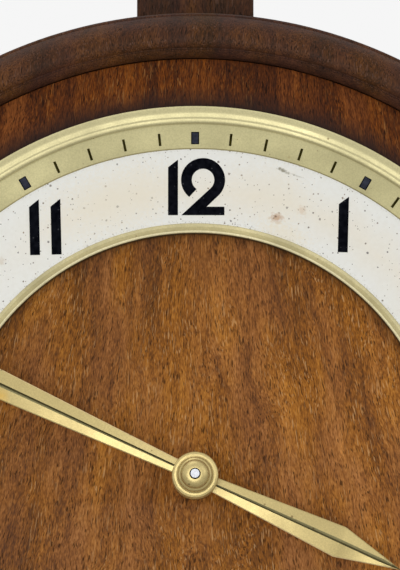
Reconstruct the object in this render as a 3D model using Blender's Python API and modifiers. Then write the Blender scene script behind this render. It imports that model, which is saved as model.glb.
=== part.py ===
"""Banjo wall clock: walnut case, brass dial, spring-driven movement, pendulum and glazed box door.

The clock is modelled lying on its back: X is right, Y is up the wall and Z is out of the wall.
The empty at the end of the parent chain stands it up, so that the world has +Z up and the front at -Y.
The origin is on the dial axis in the plane of the wall. All sizes are in metres.
"""
import math

import bmesh
import bpy
from mathutils import Vector

# Fits
FIT = 0.0003             # gap between pieces that rest on each other
RUN = 0.0003             # radial clearance round a turning arbor
DOOR_GAP = 0.0008        # gap round the box door

# Dial
BEZEL_R = 0.1000
ROLL_W = 0.0048          # bead and roll outside the minute track
TRACK_W = 0.0068
FACE_W = 0.0201          # white ring
RIM_W = 0.0027
TRACK_R = BEZEL_R - ROLL_W
CHAPTER_R = TRACK_R - TRACK_W
CHAPTER_BORE = CHAPTER_R - FACE_W
RIM_BORE = CHAPTER_BORE - RIM_W
TRACK_H = 0.0025         # heights above the dial panel
BEZEL_H = 0.0044
CHAPTER_H = 0.0019
RIM_H = 0.0027
DIAL_STEPS = 48

# Head
HEAD_LIP = 0.0125        # width of the wooden moulding round the dial panel
PANEL_MARGIN = 0.0130    # flat wood outside the bezel
HOOP_WALL = 0.0190
MOULDING_H = 0.0050
PANEL_T = 0.0070
BOARD_T = 0.0090         # backboard
BOARD_INSET = 0.0015     # backboard edge behind the case edge

# Throat and box
THROAT_TOP_HALF = 0.0460
THROAT_FOOT_HALF = 0.0660
RAIL_T = 0.0110
RAIL_DEPTH = 0.0540
THROAT_PANEL_T = 0.0080
BOX_HALF = 0.1220
BOX_H = 0.1880
SIDE_T = 0.0100
SIDE_DEPTH = 0.0620
BOX_BOARD_T = 0.0110     # top and bottom boards
OVERHANG = 0.0050
DOOR_T = 0.0160
DOOR_STILE = 0.0290
REBATE = 0.0050
GLASS_T = 0.0030

# Brass trim
ARM_R = 0.0030
ARM_ANGLE = math.radians(40)   # where an arm leaves the head, from straight down
ARM_FOOT_INSET = 0.0160
PLINTH_HALF = 0.0160
PLINTH_H = 0.0160
FINIAL_R = 0.0135
FINIAL_H = 0.0560

# Hanger
HANGER_Y = 0.0720
HANGER_HALF = 0.0160
HANGER_H = 0.0480
HANGER_T = 0.0012
NAIL_R = 0.0052
NAIL_NECK_R = 0.0026
NAIL_ROOM = 0.0050       # depth of the space for a nail head

# Hinges and latch
HINGE_INSET = 0.0390     # hinge middle from the ends of the box sides
HINGE_SPREAD = BOX_H / 2 - HINGE_INSET
HINGE_LEN = 0.0300
LEAF_W = 0.0140
LEAF_T = 0.0012
KNUCKLE_R = 0.0026
PIN_R = 0.0012
KNOB_INSET = 0.0150
KNOB_R = 0.0068
SPINDLE_R = 0.0020
CAM_LEN = 0.0090
CAM_HALF = 0.0030
CAM_T = 0.0025

# Movement frame
PLATE_T = 0.0020
PLATE_GAP = 0.0300
PLATE_HALF = 0.0380
PLATE_MARGIN = 0.0065    # pillar middle from the plate edge
PLATE_CROWN = 0.0110     # plate above the pallet arbor
DIAL_SPACE = 0.0130      # room for motion work behind the dial panel
CRUTCH_SPACE = 0.0100    # room behind the back plate
PILLAR_R = 0.0035
SPIGOT_R = 0.0022

# Train: tooth counts and modules
BARREL_T, SECOND_LEAVES, M_BARREL = 60, 10, 0.0009
SECOND_T, CENTER_LEAVES, M_SECOND = 60, 10, 0.0006
CENTER_T, THIRD_LEAVES, M_CENTER = 60, 6, 0.0005
THIRD_T, ESCAPE_LEAVES, M_THIRD = 54, 6, 0.0005
CANNON_LEAVES, MINUTE_T, M_CANNON = 14, 42, 0.0005
MINUTE_LEAVES, HOUR_T = 12, 48
ESCAPE_T = 30
ESCAPE_R = 0.0115
PALLET_SPAN = 7.5        # teeth between the pallets
PALLET_CLEAR = 0.00025
WIND_Y = -0.0420         # winding arbor below the dial center
THIRD_X = -0.0095
STUD_ANGLE = math.radians(215)
WHEEL_T = 0.0014
RATCHET_T, RATCHET_R = 24, 0.0095
DRUM_R = 0.0235
DRUM_H = 0.0160
DRUM_WALL = 0.0012
SPRING_TURNS = 5
WIND_R = 0.0030

# Arbor radii
SECOND_R, CENTER_R, FINE_R = 0.0022, 0.0020, 0.0009
PIVOT_R, FINE_PIVOT_R = 0.0012, 0.0006
CANNON_R = 0.0025        # outside of the cannon pipe
HOUR_R = 0.0038          # outside of the hour pipe

# Hands
MINUTE_SHORT = 0.0009    # minute hand inside the edge of the white ring
HOUR_SHORT = 0.0083      # hour hand inside the inner edge of the white ring
MINUTE_LEN = CHAPTER_R - MINUTE_SHORT
HOUR_LEN = CHAPTER_BORE - HOUR_SHORT
MINUTE_W, HOUR_W = 0.0080, 0.0086
MINUTE_WIDE_AT = MINUTE_LEN * 0.7314
HOUR_WIDE_AT = HOUR_LEN * 0.7
HAND_ROOT_W = 0.0034
HAND_HUB_R = 0.0062
HAND_T = 0.0010
HAND_RISE = 0.0062       # hour hand above the dial panel
HAND_STEP = 0.0040       # minute hand above the hour hand
MINUTE_ANGLE = math.radians(294.9)   # clockwise from twelve
HOUR_ANGLE = math.radians(90) + MINUTE_ANGLE / 12

# Pendulum
PENDULUM_LEN = 0.4418    # beats 5400 times an hour
BOB_R, BOB_T, BOB_RIM_T = 0.0380, 0.0180, 0.0060
BACK_FREE = 0.0050       # bob to backboard
ROD_R = 0.0015
SWING = math.radians(3)
CRUTCH_LEN = 0.0400
NUT_R, NUT_H = 0.0055, 0.0050

# Levels above the wall
Z_CASE = BOARD_T + FIT
Z_PEND = BOARD_T + BACK_FREE + BOB_T / 2
Z_BACK = Z_PEND + CRUTCH_SPACE              # rear of the back plate
Z_BACK_IN = Z_BACK + PLATE_T
Z_FRONT_IN = Z_BACK_IN + PLATE_GAP
Z_FRONT = Z_FRONT_IN + PLATE_T              # front of the front plate
Z_PANEL = Z_FRONT + DIAL_SPACE              # back of the dial panel
Z_DIAL = Z_PANEL + PANEL_T                  # front of the dial panel
Z_BOX = Z_CASE + SIDE_DEPTH
Z_DOOR = Z_BOX + DOOR_GAP
Z_HOUR_HAND = Z_DIAL + HAND_RISE
Z_MINUTE_HAND = Z_HOUR_HAND + HAND_STEP

# Levels inside the movement
Z_CENTER_W = Z_BACK_IN + 0.0035
Z_THIRD_W = Z_BACK_IN + 0.0100
Z_ESCAPE_W = Z_BACK_IN + 0.0180
Z_SECOND_W = Z_FRONT_IN - 0.0045
Z_DRUM = Z_BACK_IN + 0.0035
Z_DRUM_TOP = Z_DRUM + DRUM_H
Z_CANNON = Z_FRONT + 0.0010
Z_HOUR_W = Z_FRONT + 0.0050
Z_RATCHET = Z_FRONT + 0.0010
Z_COCK = Z_BACK - 0.0065                    # rear of the cock

# Places in the plane of the wall
PANEL_R = BEZEL_R + PANEL_MARGIN
HEAD_R = PANEL_R + FIT + HEAD_LIP
WIND = Vector((0, WIND_Y))
BARREL_REACH = (BARREL_T + SECOND_LEAVES) * M_BARREL / 2
SECOND_REACH = (SECOND_T + CENTER_LEAVES) * M_SECOND / 2
SECOND_Y = (SECOND_REACH ** 2 - BARREL_REACH ** 2 + WIND_Y ** 2) / (2 * WIND_Y)
SECOND = Vector((math.sqrt(SECOND_REACH ** 2 - SECOND_Y ** 2), SECOND_Y))
CENTER = Vector((0, 0))
CENTER_REACH = (CENTER_T + THIRD_LEAVES) * M_CENTER / 2
THIRD_REACH = (THIRD_T + ESCAPE_LEAVES) * M_THIRD / 2
THIRD = Vector((THIRD_X, math.sqrt(CENTER_REACH ** 2 - THIRD_X ** 2)))
ESCAPE = Vector((0, THIRD.y + math.sqrt(THIRD_REACH ** 2 - THIRD_X ** 2)))
PALLET_HALF = math.pi * PALLET_SPAN / ESCAPE_T
PALLET_REACH = ESCAPE_R / math.cos(PALLET_HALF)
PALLET = Vector((0, ESCAPE.y + PALLET_REACH))
CANNON_REACH = (CANNON_LEAVES + MINUTE_T) * M_CANNON / 2
M_HOUR = 2 * CANNON_REACH / (MINUTE_LEAVES + HOUR_T)
STUD = Vector((math.cos(STUD_ANGLE), math.sin(STUD_ANGLE))) * CANNON_REACH
PLATE_LOW = WIND_Y - BARREL_T * M_BARREL / 2 - PLATE_MARGIN
PLATE_HIGH = PALLET.y + PLATE_CROWN
PILLARS = [(sx * (PLATE_HALF - PLATE_MARGIN), y) for sx in (-1, 1)
           for y in (PLATE_LOW + PLATE_MARGIN, PLATE_HIGH - PLATE_MARGIN)]
BOB_Y = PALLET.y - PENDULUM_LEN
BOX_HIGH = BOB_Y + BOX_H / 2
BOX_LOW = BOB_Y - BOX_H / 2
FOOT_Y = BOX_HIGH + FIT + BOX_BOARD_T + FIT  # lower end of the throat
HINGE_X = BOX_HALF + FIT + LEAF_T + KNUCKLE_R - 0.0007
HINGE_Z = Z_BOX + DOOR_GAP / 2
CLICK = Vector((0.0140, WIND_Y + 0.0100))


def paint(name, color, roughness, metallic=0.0):
    material = bpy.data.materials.new(name)
    material.use_nodes = True
    shader = material.node_tree.nodes["Principled BSDF"]
    shader.inputs["Base Color"].default_value = (*color, 1)
    shader.inputs["Roughness"].default_value = roughness
    shader.inputs["Metallic"].default_value = metallic
    return material


def clear_scene():
    for obj in list(bpy.data.objects):
        bpy.data.objects.remove(obj)


def collection(name):
    made = bpy.data.collections.new(name)
    bpy.context.scene.collection.children.link(made)
    return made


clear_scene()
CLOCK = collection("banjo_clock")
CUTTERS = collection("banjo_clock_cutters")
STAND = bpy.data.objects.new("clock_stand", None)
CLOCK.objects.link(STAND)
STAND.rotation_euler = (math.pi / 2, 0, 0)

WALNUT = paint("walnut", (0.20, 0.10, 0.045), 0.4)
WALNUT_DARK = paint("walnut_dark", (0.11, 0.055, 0.03), 0.4)
BRASS = paint("brass", (0.75, 0.62, 0.30), 0.35, 1.0)
BRASS_MATTE = paint("brass_matte", (0.66, 0.58, 0.36), 0.5, 1.0)
WHITE = paint("white_enamel", (0.78, 0.76, 0.69), 0.45)
STEEL = paint("steel", (0.52, 0.52, 0.54), 0.35, 1.0)
GLASS = paint("glass", (0.85, 0.92, 0.90), 0.05)


def add(name, data, material=None, at=(0, 0, 0), turn=(0, 0, 0)):
    """One named piece under the stand."""
    obj = bpy.data.objects.new(name, data)
    CLOCK.objects.link(obj)
    obj.parent = STAND
    obj.location = at
    obj.rotation_euler = turn
    if material:
        data.materials.append(material)
    return obj


def area(points):
    total = 0
    for (x0, y0), (x1, y1) in zip(points, points[1:] + points[:1]):
        total += x0 * y1 - x1 * y0
    return total / 2


def turned(name, profile, steps, material=None, at=(0, 0, 0), turn=(0, 0, 0)):
    """A profile of (radius, height) points turned about local Z; a profile off the axis makes a ring."""
    points = list(profile) if area(list(profile)) < 0 else list(reversed(profile))
    ring = min(r for r, h in points) > 1e-6
    edges = [(i, i + 1) for i in range(len(points) - 1)]
    if ring:
        edges.append((len(points) - 1, 0))
    mesh = bpy.data.meshes.new(name)
    mesh.from_pydata([(r, 0, h) for r, h in points], edges, [])
    obj = add(name, mesh, material, at, turn)
    screw = obj.modifiers.new("turn", "SCREW")
    screw.axis = "Z"
    screw.steps = steps
    screw.render_steps = steps
    screw.use_merge_vertices = True
    screw.merge_threshold = 0.00001
    return obj


def flat(name, outlines, z0, z1, material=None, at=(0, 0)):
    """Flat outlines filled and given a thickness; inner outlines are holes."""
    curve = bpy.data.curves.new(name, "CURVE")
    curve.dimensions = "2D"
    curve.fill_mode = "BOTH"
    curve.extrude = (z1 - z0) / 2
    for points in outlines:
        spline = curve.splines.new("POLY")
        spline.points.add(len(points) - 1)
        for point, (x, y) in zip(spline.points, points):
            point.co = (x, y, 0, 1)
        spline.use_cyclic_u = True
    return add(name, curve, material, (at[0], at[1], (z0 + z1) / 2))


def block(name, x, y, z, material=None):
    """A box between two limits on each axis."""
    mesh = bpy.data.meshes.new(name)
    bm = bmesh.new()
    bmesh.ops.create_cube(bm, size=1)
    bmesh.ops.scale(bm, vec=(x[1] - x[0], y[1] - y[0], z[1] - z[0]), verts=bm.verts)
    bm.to_mesh(mesh)
    bm.free()
    return add(name, mesh, material, ((x[0] + x[1]) / 2, (y[0] + y[1]) / 2, (z[0] + z[1]) / 2))


def rod(name, radius, start, end, steps=12, material=None, axis="Z"):
    """A cylinder along one axis between two points."""
    start, end = Vector(start), Vector(end)
    mesh = bpy.data.meshes.new(name)
    bm = bmesh.new()
    bmesh.ops.create_cone(bm, cap_ends=True, segments=steps, radius1=radius, radius2=radius,
                          depth=(end - start).length)
    bm.to_mesh(mesh)
    bm.free()
    turn = {"Z": (0, 0, 0), "Y": (math.pi / 2, 0, 0), "X": (0, math.pi / 2, 0)}[axis]
    return add(name, mesh, material, (start + end) / 2, turn)


def solid(obj):
    """The same piece as a plain mesh, so that Booleans can work on it."""
    bpy.context.view_layer.update()
    graph = bpy.context.evaluated_depsgraph_get()
    mesh = bpy.data.meshes.new_from_object(obj.evaluated_get(graph))
    bm = bmesh.new()
    bm.from_mesh(mesh)
    bmesh.ops.remove_doubles(bm, verts=bm.verts, dist=0.000001)
    bmesh.ops.recalc_face_normals(bm, faces=bm.faces)
    bm.to_mesh(mesh)
    bm.free()
    name, place, turn = obj.name, obj.location.copy(), obj.rotation_euler.copy()
    bpy.data.objects.remove(obj)
    return add(name, mesh, None, place, turn)


def combine(target, tool, operation):
    """A live Boolean with a hidden tool."""
    tool = solid(tool)
    CLOCK.objects.unlink(tool)
    CUTTERS.objects.link(tool)
    tool.hide_render = True
    tool.display_type = "WIRE"
    boolean = target.modifiers.new(operation.lower(), "BOOLEAN")
    boolean.operation = operation
    boolean.solver = "EXACT"
    boolean.object = tool
    return target


def cut(target, tool):
    return combine(target, tool, "DIFFERENCE")


def join(target, tool):
    return combine(target, tool, "UNION")


def soften(obj, width, segments=1):
    bevel = obj.modifiers.new("edges", "BEVEL")
    bevel.width = width
    bevel.segments = segments
    bevel.limit_method = "ANGLE"
    bevel.angle_limit = math.radians(50)
    return obj


def circle(radius, steps, center=(0, 0), start=0.0):
    return [(center[0] + radius * math.cos(start + 2 * math.pi * k / steps),
             center[1] + radius * math.sin(start + 2 * math.pi * k / steps)) for k in range(steps)]


def rectangle(x0, x1, y0, y1):
    return [(x0, y0), (x1, y0), (x1, y1), (x0, y1)]


def gear(teeth, module, phase, pinion=False):
    """Tooth outline with a tooth centered on the phase angle: pointed wheel teeth, blunt pinion leaves."""
    pitch = 2 * math.pi / teeth
    middle = teeth * module / 2
    corners = [(middle - module, -0.25), (middle + 0.7 * module, 0.0), (middle - module, 0.25)]
    if pinion:
        corners = [(middle - module, -0.21), (middle + 0.6 * module, -0.10), (middle + 0.6 * module, 0.10),
                   (middle - module, 0.21)]
    points = []
    for k in range(teeth):
        for radius, share in corners:
            a = phase + (k + share) * pitch
            points.append((radius * math.cos(a), radius * math.sin(a)))
    return points


def windows(inner, outer, count=4, spoke=0.0026):
    """Openings between the spokes of a wheel."""
    shapes = []
    for k in range(count):
        middle = 2 * math.pi * (k + 0.5) / count
        shape = []
        for radius, order in ((inner, 1), (outer, -1)):
            half = math.pi / count - spoke / 2 / radius
            shape += [(radius * math.cos(middle + order * half * s), radius * math.sin(middle + order * half * s))
                      for s in (-1, -0.34, 0.34, 1)]
        shapes.append(shape)
    return shapes


def heading(start, end):
    return math.atan2(end[1] - start[1], end[0] - start[0])


def wheel(name, teeth, module, phase, z, bore, at, material=BRASS):
    """A spoked wheel with its middle plane at z."""
    outlines = [gear(teeth, module, phase), circle(bore, 12)]
    outlines += windows(bore + 0.0028, teeth * module / 2 - 2.9 * module)
    return flat(name, outlines, z - WHEEL_T / 2, z + WHEEL_T / 2, material, at)


def arbor(name, stations, at, leaves, module, phase, z0, z1):
    """A turned arbor given as (radius, height) stations, with the leaves of its pinion cut from the solid."""
    profile = [(0, stations[0][1])] + stations + [(0, stations[-1][1])]
    made = solid(turned(name, profile, 12, None, (at[0], at[1], 0)))
    made.data.materials.append(STEEL)
    return join(made, flat(name + "_leaves", [gear(leaves, module, phase, True)], z0, z1, None, at))


# Case

def throat_half(y):
    share = (y + HEAD_R) / (FOOT_Y + HEAD_R)
    return THROAT_TOP_HALF + (THROAT_FOOT_HALF - THROAT_TOP_HALF) * share


def board_outline():
    """Round head, tapered throat and box in one outline, set in from the case edges."""
    radius = HEAD_R - BOARD_INSET
    low, high = -radius, 0.0
    for step in range(40):
        y = (low + high) / 2
        if (throat_half(y) - BOARD_INSET) ** 2 + y * y > radius * radius:
            low = y
        else:
            high = y
    start = math.atan2(y, throat_half(y) - BOARD_INSET)
    sweep = math.pi - 2 * start
    half = BOX_HALF - BOARD_INSET
    shoulder = BOX_HIGH - FIT
    right = [(half, BOX_LOW), (half, shoulder), (throat_half(shoulder) - BOARD_INSET, shoulder)]
    head = [(radius * math.cos(start + sweep * k / 48), radius * math.sin(start + sweep * k / 48))
            for k in range(49)]
    return right + head + [(-x, y) for x, y in reversed(right)]


backboard = solid(flat("backboard", [board_outline()], 0, BOARD_T))
backboard.data.materials.append(WALNUT_DARK)
recess = HANGER_T + FIT * 2
cut(backboard, block("hanger_recess", (-HANGER_HALF - FIT, HANGER_HALF + FIT),
                     (HANGER_Y - HANGER_H / 2 - FIT, HANGER_Y + HANGER_H / 2 + FIT), (-0.001, recess)))
cut(backboard, block("nail_space", (-NAIL_R - 0.002, NAIL_R + 0.002),
                     (HANGER_Y - HANGER_H / 2 + 0.007, HANGER_Y + HANGER_H / 2 - 0.007),
                     (recess - 0.0005, recess + NAIL_ROOM)))

keyhole = [(NAIL_NECK_R, HANGER_H * 0.18), (-NAIL_NECK_R, HANGER_H * 0.18)]
gap_angle = math.acos(NAIL_NECK_R / NAIL_R)
keyhole += [(NAIL_R * math.cos(a), NAIL_R * math.sin(a) - HANGER_H * 0.12) for a in
            (math.pi - gap_angle + (math.pi + 2 * gap_angle) * k / 12 for k in range(13))]
flat("hanger_plate", [rectangle(-HANGER_HALF, HANGER_HALF, -HANGER_H / 2, HANGER_H / 2), keyhole],
     FIT, FIT + HANGER_T, STEEL, (0, HANGER_Y))

hoop_bore = HEAD_R - HOOP_WALL
seat_r = PANEL_R + FIT
head_hoop = solid(turned("head_hoop", [
    (seat_r, Z_DIAL + MOULDING_H * 0.2), (seat_r + HEAD_LIP * 0.14, Z_DIAL + MOULDING_H * 0.75),
    (seat_r + HEAD_LIP * 0.40, Z_DIAL + MOULDING_H), (seat_r + HEAD_LIP * 0.70, Z_DIAL + MOULDING_H * 0.8),
    (seat_r + HEAD_LIP * 0.92, Z_DIAL + MOULDING_H * 0.1), (HEAD_R, Z_DIAL - MOULDING_H * 0.8), (HEAD_R, Z_CASE),
    (hoop_bore, Z_CASE), (hoop_bore, Z_PANEL - FIT), (seat_r, Z_PANEL - FIT)], DIAL_STEPS))
head_hoop.data.materials.append(WALNUT)
swing_at_hoop = (PALLET.y + HEAD_R) * math.tan(SWING)
cut(head_hoop, block("hoop_slot", (-swing_at_hoop - 0.009, swing_at_hoop + 0.009),
                     (-HEAD_R - 0.005, -hoop_bore + 0.012), (Z_PEND - 0.009, Z_PEND + 0.009)))

flat("dial_panel", [circle(PANEL_R, DIAL_STEPS), circle(HOUR_R + 0.0020, 16), circle(0.0062, 16, WIND)],
     Z_PANEL, Z_DIAL, WALNUT)

plinth = block("finial_plinth", (-PLINTH_HALF, PLINTH_HALF), (HEAD_R - 0.006, HEAD_R + PLINTH_H),
               (Z_CASE + 0.016, Z_CASE + 0.016 + 2 * PLINTH_HALF), WALNUT_DARK)
cut(plinth, rod("plinth_seat", HEAD_R + FIT, (0, 0, 0), (0, 0, Z_DIAL + 0.01), DIAL_STEPS))
turned("finial", [(0, 0), (FINIAL_R * 0.85, 0), (FINIAL_R * 0.85, FINIAL_H * 0.05), (FINIAL_R * 0.40, FINIAL_H * 0.09),
                  (FINIAL_R * 0.28, FINIAL_H * 0.20), (FINIAL_R * 0.55, FINIAL_H * 0.24),
                  (FINIAL_R * 0.95, FINIAL_H * 0.36), (FINIAL_R, FINIAL_H * 0.46), (FINIAL_R * 0.84, FINIAL_H * 0.57),
                  (FINIAL_R * 0.42, FINIAL_H * 0.66), (FINIAL_R * 0.50, FINIAL_H * 0.71),
                  (FINIAL_R * 0.30, FINIAL_H * 0.80), (FINIAL_R * 0.12, FINIAL_H * 0.93), (0, FINIAL_H)],
       18, BRASS, (0, HEAD_R + PLINTH_H + FIT, Z_CASE + 0.016 + PLINTH_HALF), (-math.pi / 2, 0, 0))

rail_top = -HEAD_R + 0.020
for name, side in (("throat_rail_left", -1), ("throat_rail_right", 1)):
    edge = [(side * throat_half(rail_top), rail_top), (side * throat_half(FOOT_Y), FOOT_Y)]
    inner = [(x - side * RAIL_T, y) for x, y in reversed(edge)]
    rail = solid(flat(name, [edge + inner], Z_CASE, Z_CASE + RAIL_DEPTH))
    rail.data.materials.append(WALNUT_DARK)
    cut(rail, rod(name + "_seat", HEAD_R + FIT, (0, 0, -0.01), (0, 0, Z_DIAL + 0.01), DIAL_STEPS))
z_throat = Z_CASE + RAIL_DEPTH + FIT
throat_panel = solid(flat("throat_panel", [[
    (throat_half(rail_top), rail_top), (-throat_half(rail_top), rail_top),
    (-throat_half(FOOT_Y), FOOT_Y), (throat_half(FOOT_Y), FOOT_Y)]], z_throat, z_throat + THROAT_PANEL_T))
throat_panel.data.materials.append(WALNUT)
cut(throat_panel, rod("throat_panel_seat", HEAD_R + FIT, (0, 0, 0), (0, 0, Z_DIAL + 0.01), DIAL_STEPS))

# Box

door_front = Z_DOOR + DOOR_T
left_side = block("box_side_left", (-BOX_HALF, -BOX_HALF + SIDE_T), (BOX_LOW, BOX_HIGH), (Z_CASE, Z_BOX), WALNUT)
block("box_side_right", (BOX_HALF - SIDE_T, BOX_HALF), (BOX_LOW, BOX_HIGH), (Z_CASE, Z_BOX), WALNUT)
board_x = (-BOX_HALF - OVERHANG, BOX_HALF + OVERHANG)
box_top = block("box_top", board_x, (BOX_HIGH + FIT, BOX_HIGH + FIT + BOX_BOARD_T),
                (Z_CASE, door_front + OVERHANG), WALNUT)
swing_at_box = (PALLET.y - BOX_HIGH) * math.tan(SWING)
cut(box_top, block("box_top_slot", (-swing_at_box - 0.009, swing_at_box + 0.009),
                   (BOX_HIGH - 0.01, FOOT_Y + 0.01), (Z_PEND - 0.009, Z_PEND + 0.009)))
soften(box_top, 0.0015)
soften(block("box_bottom", board_x, (BOX_LOW - FIT - BOX_BOARD_T, BOX_LOW - FIT),
             (0, door_front + OVERHANG), WALNUT), 0.0015)

door_x = BOX_HALF
door_y = BOX_H / 2 - DOOR_GAP
open_x, open_y = door_x - DOOR_STILE, door_y - DOOR_STILE
door_frame = solid(flat("door_frame", [rectangle(-door_x, door_x, -door_y, door_y),
                                       rectangle(-open_x, open_x, -open_y, open_y)],
                        Z_DOOR, door_front, None, (0, BOB_Y)))
door_frame.data.materials.append(WALNUT)
glass_x, glass_y = open_x + REBATE, open_y + REBATE
cut(door_frame, block("glass_rebate", (-glass_x - FIT, glass_x + FIT), (BOB_Y - glass_y - FIT, BOB_Y + glass_y + FIT),
                      (Z_DOOR - 0.005, Z_DOOR + GLASS_T + 2 * FIT)))
block("door_glass", (-glass_x, glass_x), (BOB_Y - glass_y, BOB_Y + glass_y), (Z_DOOR + FIT, Z_DOOR + FIT + GLASS_T),
      GLASS)

knob_x = -BOX_HALF + KNOB_INSET
cut(door_frame, rod("spindle_hole", SPINDLE_R + RUN, (knob_x, BOB_Y, Z_DOOR - 0.01),
                    (knob_x, BOB_Y, door_front + 0.01)))
z_cam = Z_BOX - 0.0055
turned("door_knob", [(0, z_cam - 0.001), (SPINDLE_R, z_cam - 0.001), (SPINDLE_R, door_front + 0.0004),
                     (KNOB_R, door_front + 0.0004), (KNOB_R, door_front + 0.0018), (KNOB_R * 0.45, door_front + 0.0030),
                     (KNOB_R * 0.45, door_front + 0.0055), (KNOB_R * 0.90, door_front + 0.0080),
                     (KNOB_R * 0.95, door_front + 0.0100), (KNOB_R * 0.60, door_front + 0.0125),
                     (0, door_front + 0.0135)], 16, BRASS, (knob_x, BOB_Y, 0))
flat("latch_cam", [[(CAM_HALF, -CAM_HALF), (CAM_HALF, CAM_LEN - 0.0015), (CAM_HALF - 0.0015, CAM_LEN),
                    (-CAM_HALF + 0.0015, CAM_LEN), (-CAM_HALF, CAM_LEN - 0.0015), (-CAM_HALF, -CAM_HALF)],
                   circle(SPINDLE_R + FIT, 12)], z_cam, z_cam + CAM_T, STEEL, (knob_x, BOB_Y))
cut(left_side, block("latch_mortise", (knob_x - CAM_LEN - 0.0010, -BOX_HALF + SIDE_T + 0.001),
                     (BOB_Y - CAM_HALF - 0.0015, BOB_Y + CAM_LEN + 0.0025), (z_cam - 0.0007, z_cam + CAM_T + 0.0007)))


def hinge(name, y):
    """Two leaves on the outside of the right side and the door edge, with knuckles on one pin."""
    third = HINGE_LEN / 6
    near = KNUCKLE_R + 0.0006
    x_leaf = (BOX_HALF + FIT, BOX_HALF + FIT + LEAF_T)
    ends = ((y - HINGE_LEN / 2, y - third - FIT), (y + third + FIT, y + HINGE_LEN / 2))
    case_leaf = block(name + "_case_leaf", x_leaf, (y - HINGE_LEN / 2, y + HINGE_LEN / 2),
                      (HINGE_Z - LEAF_W, HINGE_Z - near), BRASS)
    for k, (low, high) in enumerate(ends):
        tag = name + "_case_" + str(k)
        join(case_leaf, block(tag + "_web", x_leaf, (low, high), (HINGE_Z - near - 0.0005, HINGE_Z)))
        join(case_leaf, rod(tag + "_knuckle", KNUCKLE_R, (HINGE_X, low, HINGE_Z), (HINGE_X, high, HINGE_Z), 12, None, "Y"))
    join(case_leaf, rod(name + "_pin", PIN_R, (HINGE_X, y - HINGE_LEN / 2 + 0.001, HINGE_Z),
                        (HINGE_X, y + HINGE_LEN / 2 - 0.001, HINGE_Z), 12, None, "Y"))
    door_leaf = block(name + "_door_leaf", x_leaf, (y - HINGE_LEN / 2, y + HINGE_LEN / 2),
                      (HINGE_Z + near, HINGE_Z + LEAF_W), BRASS)
    low, high = y - third, y + third
    join(door_leaf, block(name + "_door_web", x_leaf, (low, high), (HINGE_Z, HINGE_Z + near + 0.0005)))
    join(door_leaf, rod(name + "_door_knuckle", KNUCKLE_R, (HINGE_X, low, HINGE_Z), (HINGE_X, high, HINGE_Z), 12, None, "Y"))
    cut(door_leaf, rod(name + "_bore", PIN_R + RUN, (HINGE_X, low - 0.002, HINGE_Z), (HINGE_X, high + 0.002, HINGE_Z), 12,
                       None, "Y"))


hinge("hinge_upper", BOB_Y + HINGE_SPREAD)
hinge("hinge_lower", BOB_Y - HINGE_SPREAD)


def side_arm(name, side):
    """A round brass arm from the head down to the shoulder of the box."""
    out = HEAD_R - ARM_R
    x_foot = BOX_HALF - ARM_FOOT_INSET
    ends = [Vector((out * math.sin(ARM_ANGLE), -out * math.cos(ARM_ANGLE))), Vector((x_foot, FOOT_Y - ARM_R))]
    length = ends[0].y - ends[1].y
    hold = [ends[0] + Vector((-0.10, -0.40)) * length, ends[1] + Vector((-0.05, 0.42)) * length]
    curve = bpy.data.curves.new(name, "CURVE")
    curve.dimensions = "3D"
    curve.bevel_depth = ARM_R
    curve.bevel_resolution = 2
    curve.use_fill_caps = True
    spline = curve.splines.new("POLY")
    count = 15
    spline.points.add(count - 1)
    for k in range(count):
        t = k / (count - 1)
        u = 1 - t
        p = ends[0] * u ** 3 + hold[0] * 3 * u * u * t + hold[1] * 3 * u * t * t + ends[1] * t ** 3
        spline.points[k].co = (side * p.x, p.y, 0, 1)
    arm = solid(add(name, curve, None, (0, 0, Z_CASE + RAIL_DEPTH / 2)))
    arm.data.materials.append(BRASS)
    cut(arm, block(name + "_foot", (-BOX_HALF, BOX_HALF), (FOOT_Y - 0.02, FOOT_Y), (-0.01, Z_DOOR)))
    cut(arm, rod(name + "_seat", HEAD_R + FIT, (0, 0, -0.01), (0, 0, Z_DIAL + 0.01), DIAL_STEPS))


side_arm("side_arm_left", -1)
side_arm("side_arm_right", 1)

# Dial rings

z_ring = Z_DIAL + FIT
roll = BEZEL_R - TRACK_R
turned("minute_ring", [
    (CHAPTER_R + FIT, z_ring), (CHAPTER_R + FIT, Z_DIAL + TRACK_H), (TRACK_R, Z_DIAL + TRACK_H),
    (TRACK_R + roll * 0.06, Z_DIAL + TRACK_H - 0.0003), (TRACK_R + roll * 0.18, Z_DIAL + TRACK_H + 0.0006),
    (TRACK_R + roll * 0.34, Z_DIAL + TRACK_H + 0.0005), (TRACK_R + roll * 0.42, Z_DIAL + BEZEL_H * 0.80),
    (TRACK_R + roll * 0.58, Z_DIAL + BEZEL_H), (TRACK_R + roll * 0.78, Z_DIAL + BEZEL_H * 0.93),
    (TRACK_R + roll * 0.94, Z_DIAL + BEZEL_H * 0.70), (BEZEL_R, Z_DIAL + BEZEL_H * 0.45), (BEZEL_R, z_ring)],
    DIAL_STEPS, BRASS_MATTE)
turned("chapter_ring", [(CHAPTER_BORE + FIT, z_ring), (CHAPTER_BORE + FIT, Z_DIAL + CHAPTER_H),
                        (CHAPTER_R, Z_DIAL + CHAPTER_H), (CHAPTER_R, z_ring)], DIAL_STEPS, WHITE)
rim_w = CHAPTER_BORE - RIM_BORE
turned("inner_rim", [(RIM_BORE, z_ring), (RIM_BORE, Z_DIAL + RIM_H * 0.8), (RIM_BORE + rim_w * 0.2, Z_DIAL + RIM_H),
                     (RIM_BORE + rim_w * 0.85, Z_DIAL + RIM_H * 0.95), (CHAPTER_BORE, Z_DIAL + RIM_H * 0.8),
                     (CHAPTER_BORE, z_ring)], DIAL_STEPS, BRASS)


# Movement frame

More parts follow.
